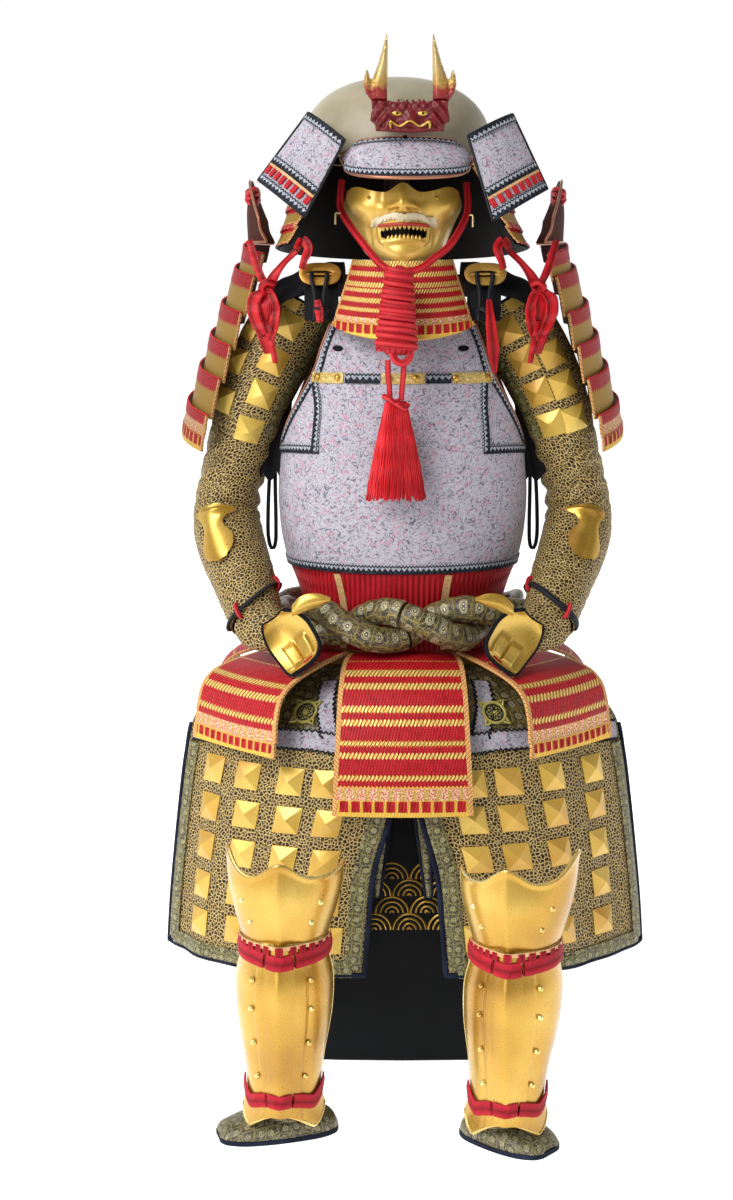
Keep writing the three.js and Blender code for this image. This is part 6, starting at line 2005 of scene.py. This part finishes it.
# Shin guards and knee cups
shinDress = {"rivetRows": (0.305, 0.44, 0.58, 0.73), "rivetU": (0.308, 0.702), "hinges": (0.335, 0.675)}
for side, name, title in bothSides:
    guard, knee = shinSurface(side, "guard"), shinSurface(side, "knee")

    def keel(u):
        return 7.0 * np.maximum(0, 1 - np.abs(u - 0.5) / 0.17)

    def guardRelief(u, v, x, y, keel=keel):  # three plates: a keeled middle one lapping over the two at the sides
        low, high = shinDress["hinges"]
        inner = smoothStep(u, low - 0.004, low + 0.004) * (1 - smoothStep(u, high - 0.004, high + 0.004))
        return 0.6 + inner * (1.4 + keel(u))

    def plates(u, v, guard=guard):
        return raised(guard, u, v, guardRelief(u, v, 0, 0)[..., None])

    def overPlates(u, v, guard=guard, keel=keel):  # the same without the sharp seams, for what is tied round
        return raised(guard, u, v, (1.8 + keel(u))[..., None])

    plate = panel("shinGuard" + title, guard, 120, 50, 2.6, giltPlate, antiqueGold, guardRelief)
    stands(plate, "gold_plate", "shin_guard_" + name)
    cup = panel("kneeCup" + title, knee, 100, 44, 2.6, giltPlate, antiqueGold,
                lambda u, v, x, y: 1.0 + 2.0 * bump(u, 0.5, 0.03) * (1 - v) + 3.0 * bump(v, 0.55, 0.35) * bump(u,
                    0.5, 0.32) + 1.6 * smoothStep(v, 0.9, 1.0))
    stands(cup, "gold_plate", "knee_cup_" + name)
    rims = []
    for surface in (guard, knee):
        rims.append(tube("rolledEdge", edgeLoop(surface, 30, 90, -0.6), 2.5, brightRim, 8, closed=True))
    stands(merged("legRims" + title, rims), "gold_plate")
    spots = placesOn(plates, [(u, v) for u in shinDress["rivetU"] for v in shinDress["rivetRows"]], 1.2)
    spots += placesOn(knee, [(0.27, 0.60), (0.73, 0.60), (0.31, 0.32), (0.69, 0.32)], 2.0)
    stands(scattered("legRivets" + title, domePattern(8.5, 8.5, 4.2), spots, brightRim), "gold_plate")
    bands = []
    for v, wide, thick in ((0.17, 19, 2.0), (0.885, 20, 2.4)):
        bands.append(strip("legBand", overPlates, [(0.0, v + 0.03), (0.25, v + 0.006), (0.49, v - 0.016),
            (0.51, v - 0.016), (0.75, v + 0.006), (1.0, v + 0.03)], wide, bandSilk, 1.0, thick, 70, pad=1.6))
    stands(merged("legBands" + title, bands), "red_silk")
    tabs = placesOn(overPlates, [(0.06 + 0.88 * k / 12, 0.955) for k in range(13)], 1.6)
    stands(scattered("kneeTabs" + title, padPattern(11, 12, 4.0), tabs, bandSilk), "red_lacing")
    cord = strip("kneeGoldCord" + title, overPlates, [(0.0, 0.985), (1.0, 0.985)], 5, plaitedTape, 1.6, 1.4, 70)
    stands(cord, "gold_net_brocade")
print("legs done")

# Shoes: dark brocade uppers on a navy sole
shoe = {"rows": [(-76, 14, 13), (-68, 27, 24), (-44, 38, 33), (0, 43, 39), (36, 43, 33), (66, 39, 26),
                 (88, 29, 19), (96, 17, 11)],
        "ankle": 34, "ankleTop": 84}
for side, name, title in bothSides:
    leg = legs[side]
    turn = math.radians(leg["turn"])

    def place(x, y, z, leg=leg, turn=turn):
        return np.stack([leg["shoe"][0] + x * math.cos(turn) - y * math.sin(turn),
                         leg["shoe"][1] + x * math.sin(turn) + y * math.cos(turn), z + 0 * x], axis=-1)

    def upper(u, v, leg=leg, place=place):  # u over the shoe from side to side, v from heel to toe
        along, half, high = rowsAt(shoe["rows"], v)
        arch = math.pi * u
        x = np.sign(np.cos(arch)) * np.abs(np.cos(arch)) ** 0.75 * (half - 1.5)
        z = 3 + np.abs(np.sin(arch)) ** 0.62 * (high - 4)
        wrinkle = 0.9 * np.sin(17 * v + 2.5 * np.cos(arch)) * np.sin(arch)
        return place(x, -along * leg["length"], z + wrinkle)

    body = panel("shoeUpper" + title, upper, 40, 60, 2.5, shoeBrocade, navyCloth)

    def ankle(u, v, leg=leg, place=place):
        angle = 2 * math.pi * u
        radius = shoe["ankle"] + 2.2 * (1 - v) + 1.1 * np.sin(15 * v + 2 * np.sin(angle))
        return place(radius * np.cos(angle), radius * np.sin(angle), 24 + (shoe["ankleTop"] - 26) * v)

    sock = panel("sock", ankle, 48, 20, 2.5, shoeBrocade, navyCloth, ring=True)
    stands(merged("shoe" + title, [body, sock]), "dark_brocade", "shoe_" + name)
    v = np.linspace(0, 1, 50)
    along, half, high = rowsAt(shoe["rows"], v)
    outline = np.concatenate([place(half, -along * leg["length"], 0 * v),
                              place(-half[::-1], -along[::-1] * leg["length"], 0 * v)])
    sole = [(*p[:2], z) for z in (0.2, 6.5) for p in outline]
    n = len(outline)
    faces = [(i, (i + 1) % n, n + (i + 1) % n, n + i) for i in range(n)] + [tuple(range(n))[::-1],
        tuple(range(n, 2 * n))]
    solePiece = meshPiece("shoeSole" + title, sole, faces, navyCloth, None, 40)
    fixNormals(solePiece)
    stands(solePiece, "black_cloth")
print("shoes done")


# Armour chest and stand
def softened(name, node, width, material, slot):  # the solid's own shape with its edges rounded
    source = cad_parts[node]
    piece = bpy.data.objects.new(name, source.data.copy())
    bpy.context.collection.objects.link(piece)
    pickOnly(piece)
    editWhole(("remove_doubles", {"threshold": weldGap}), ("dissolve_limited", {"angle_limit": math.radians(2)}))
    applyModifier(piece, "BEVEL", width=width / 1000, segments=3, limit_method="ANGLE",
                  angle_limit=math.radians(40))
    piece.data.materials.clear()
    finishPiece(piece, material, 35)
    return stands(piece, slot, node)


softened("armourChest", "chest_body", 2.5, blackLacquer, "lacquer")
softened("chestLid", "chest_lid", 2.5, blackLacquer, "lacquer")
softened("innerStand", "stand", 2.0, standWood, "stand_wood")

# a traditional wave pattern in gold lacquer on the front of the chest
waves = {"middle": 10, "low": 205, "radius": 26, "rows": 4, "columns": 3, "rings": (1.0, 0.72, 0.44, 0.18),
         "wide": 3.0}


def chestFrontY(x):
    return -194 - 10 * np.cos(np.clip(x / 226, -1, 1) * math.pi / 2)


scales = []
for row in range(waves["rows"]):
    for column in range(waves["columns"] - (row % 2)):
        middle = waves["middle"] + (column - (waves["columns"] - 1 - (row % 2)) / 2) * waves["radius"] * 2
        base = waves["low"] + row * waves["radius"]
        for share in waves["rings"]:
            radius = waves["radius"] * share - waves["wide"] / 2
            if radius < 2:
                continue
            turn = np.linspace(0, math.pi, 24)
            x = middle + radius * np.cos(turn)
            line = np.stack([x, chestFrontY(x) - 0.8, base + radius * np.sin(turn)], axis=1)
            scales.append(tube("wave", line, waves["wide"] / 2, giltPlate, 6, flat=0.35))
stands(merged("waveOrnament", scales), "gold_plate")
print("chest done")
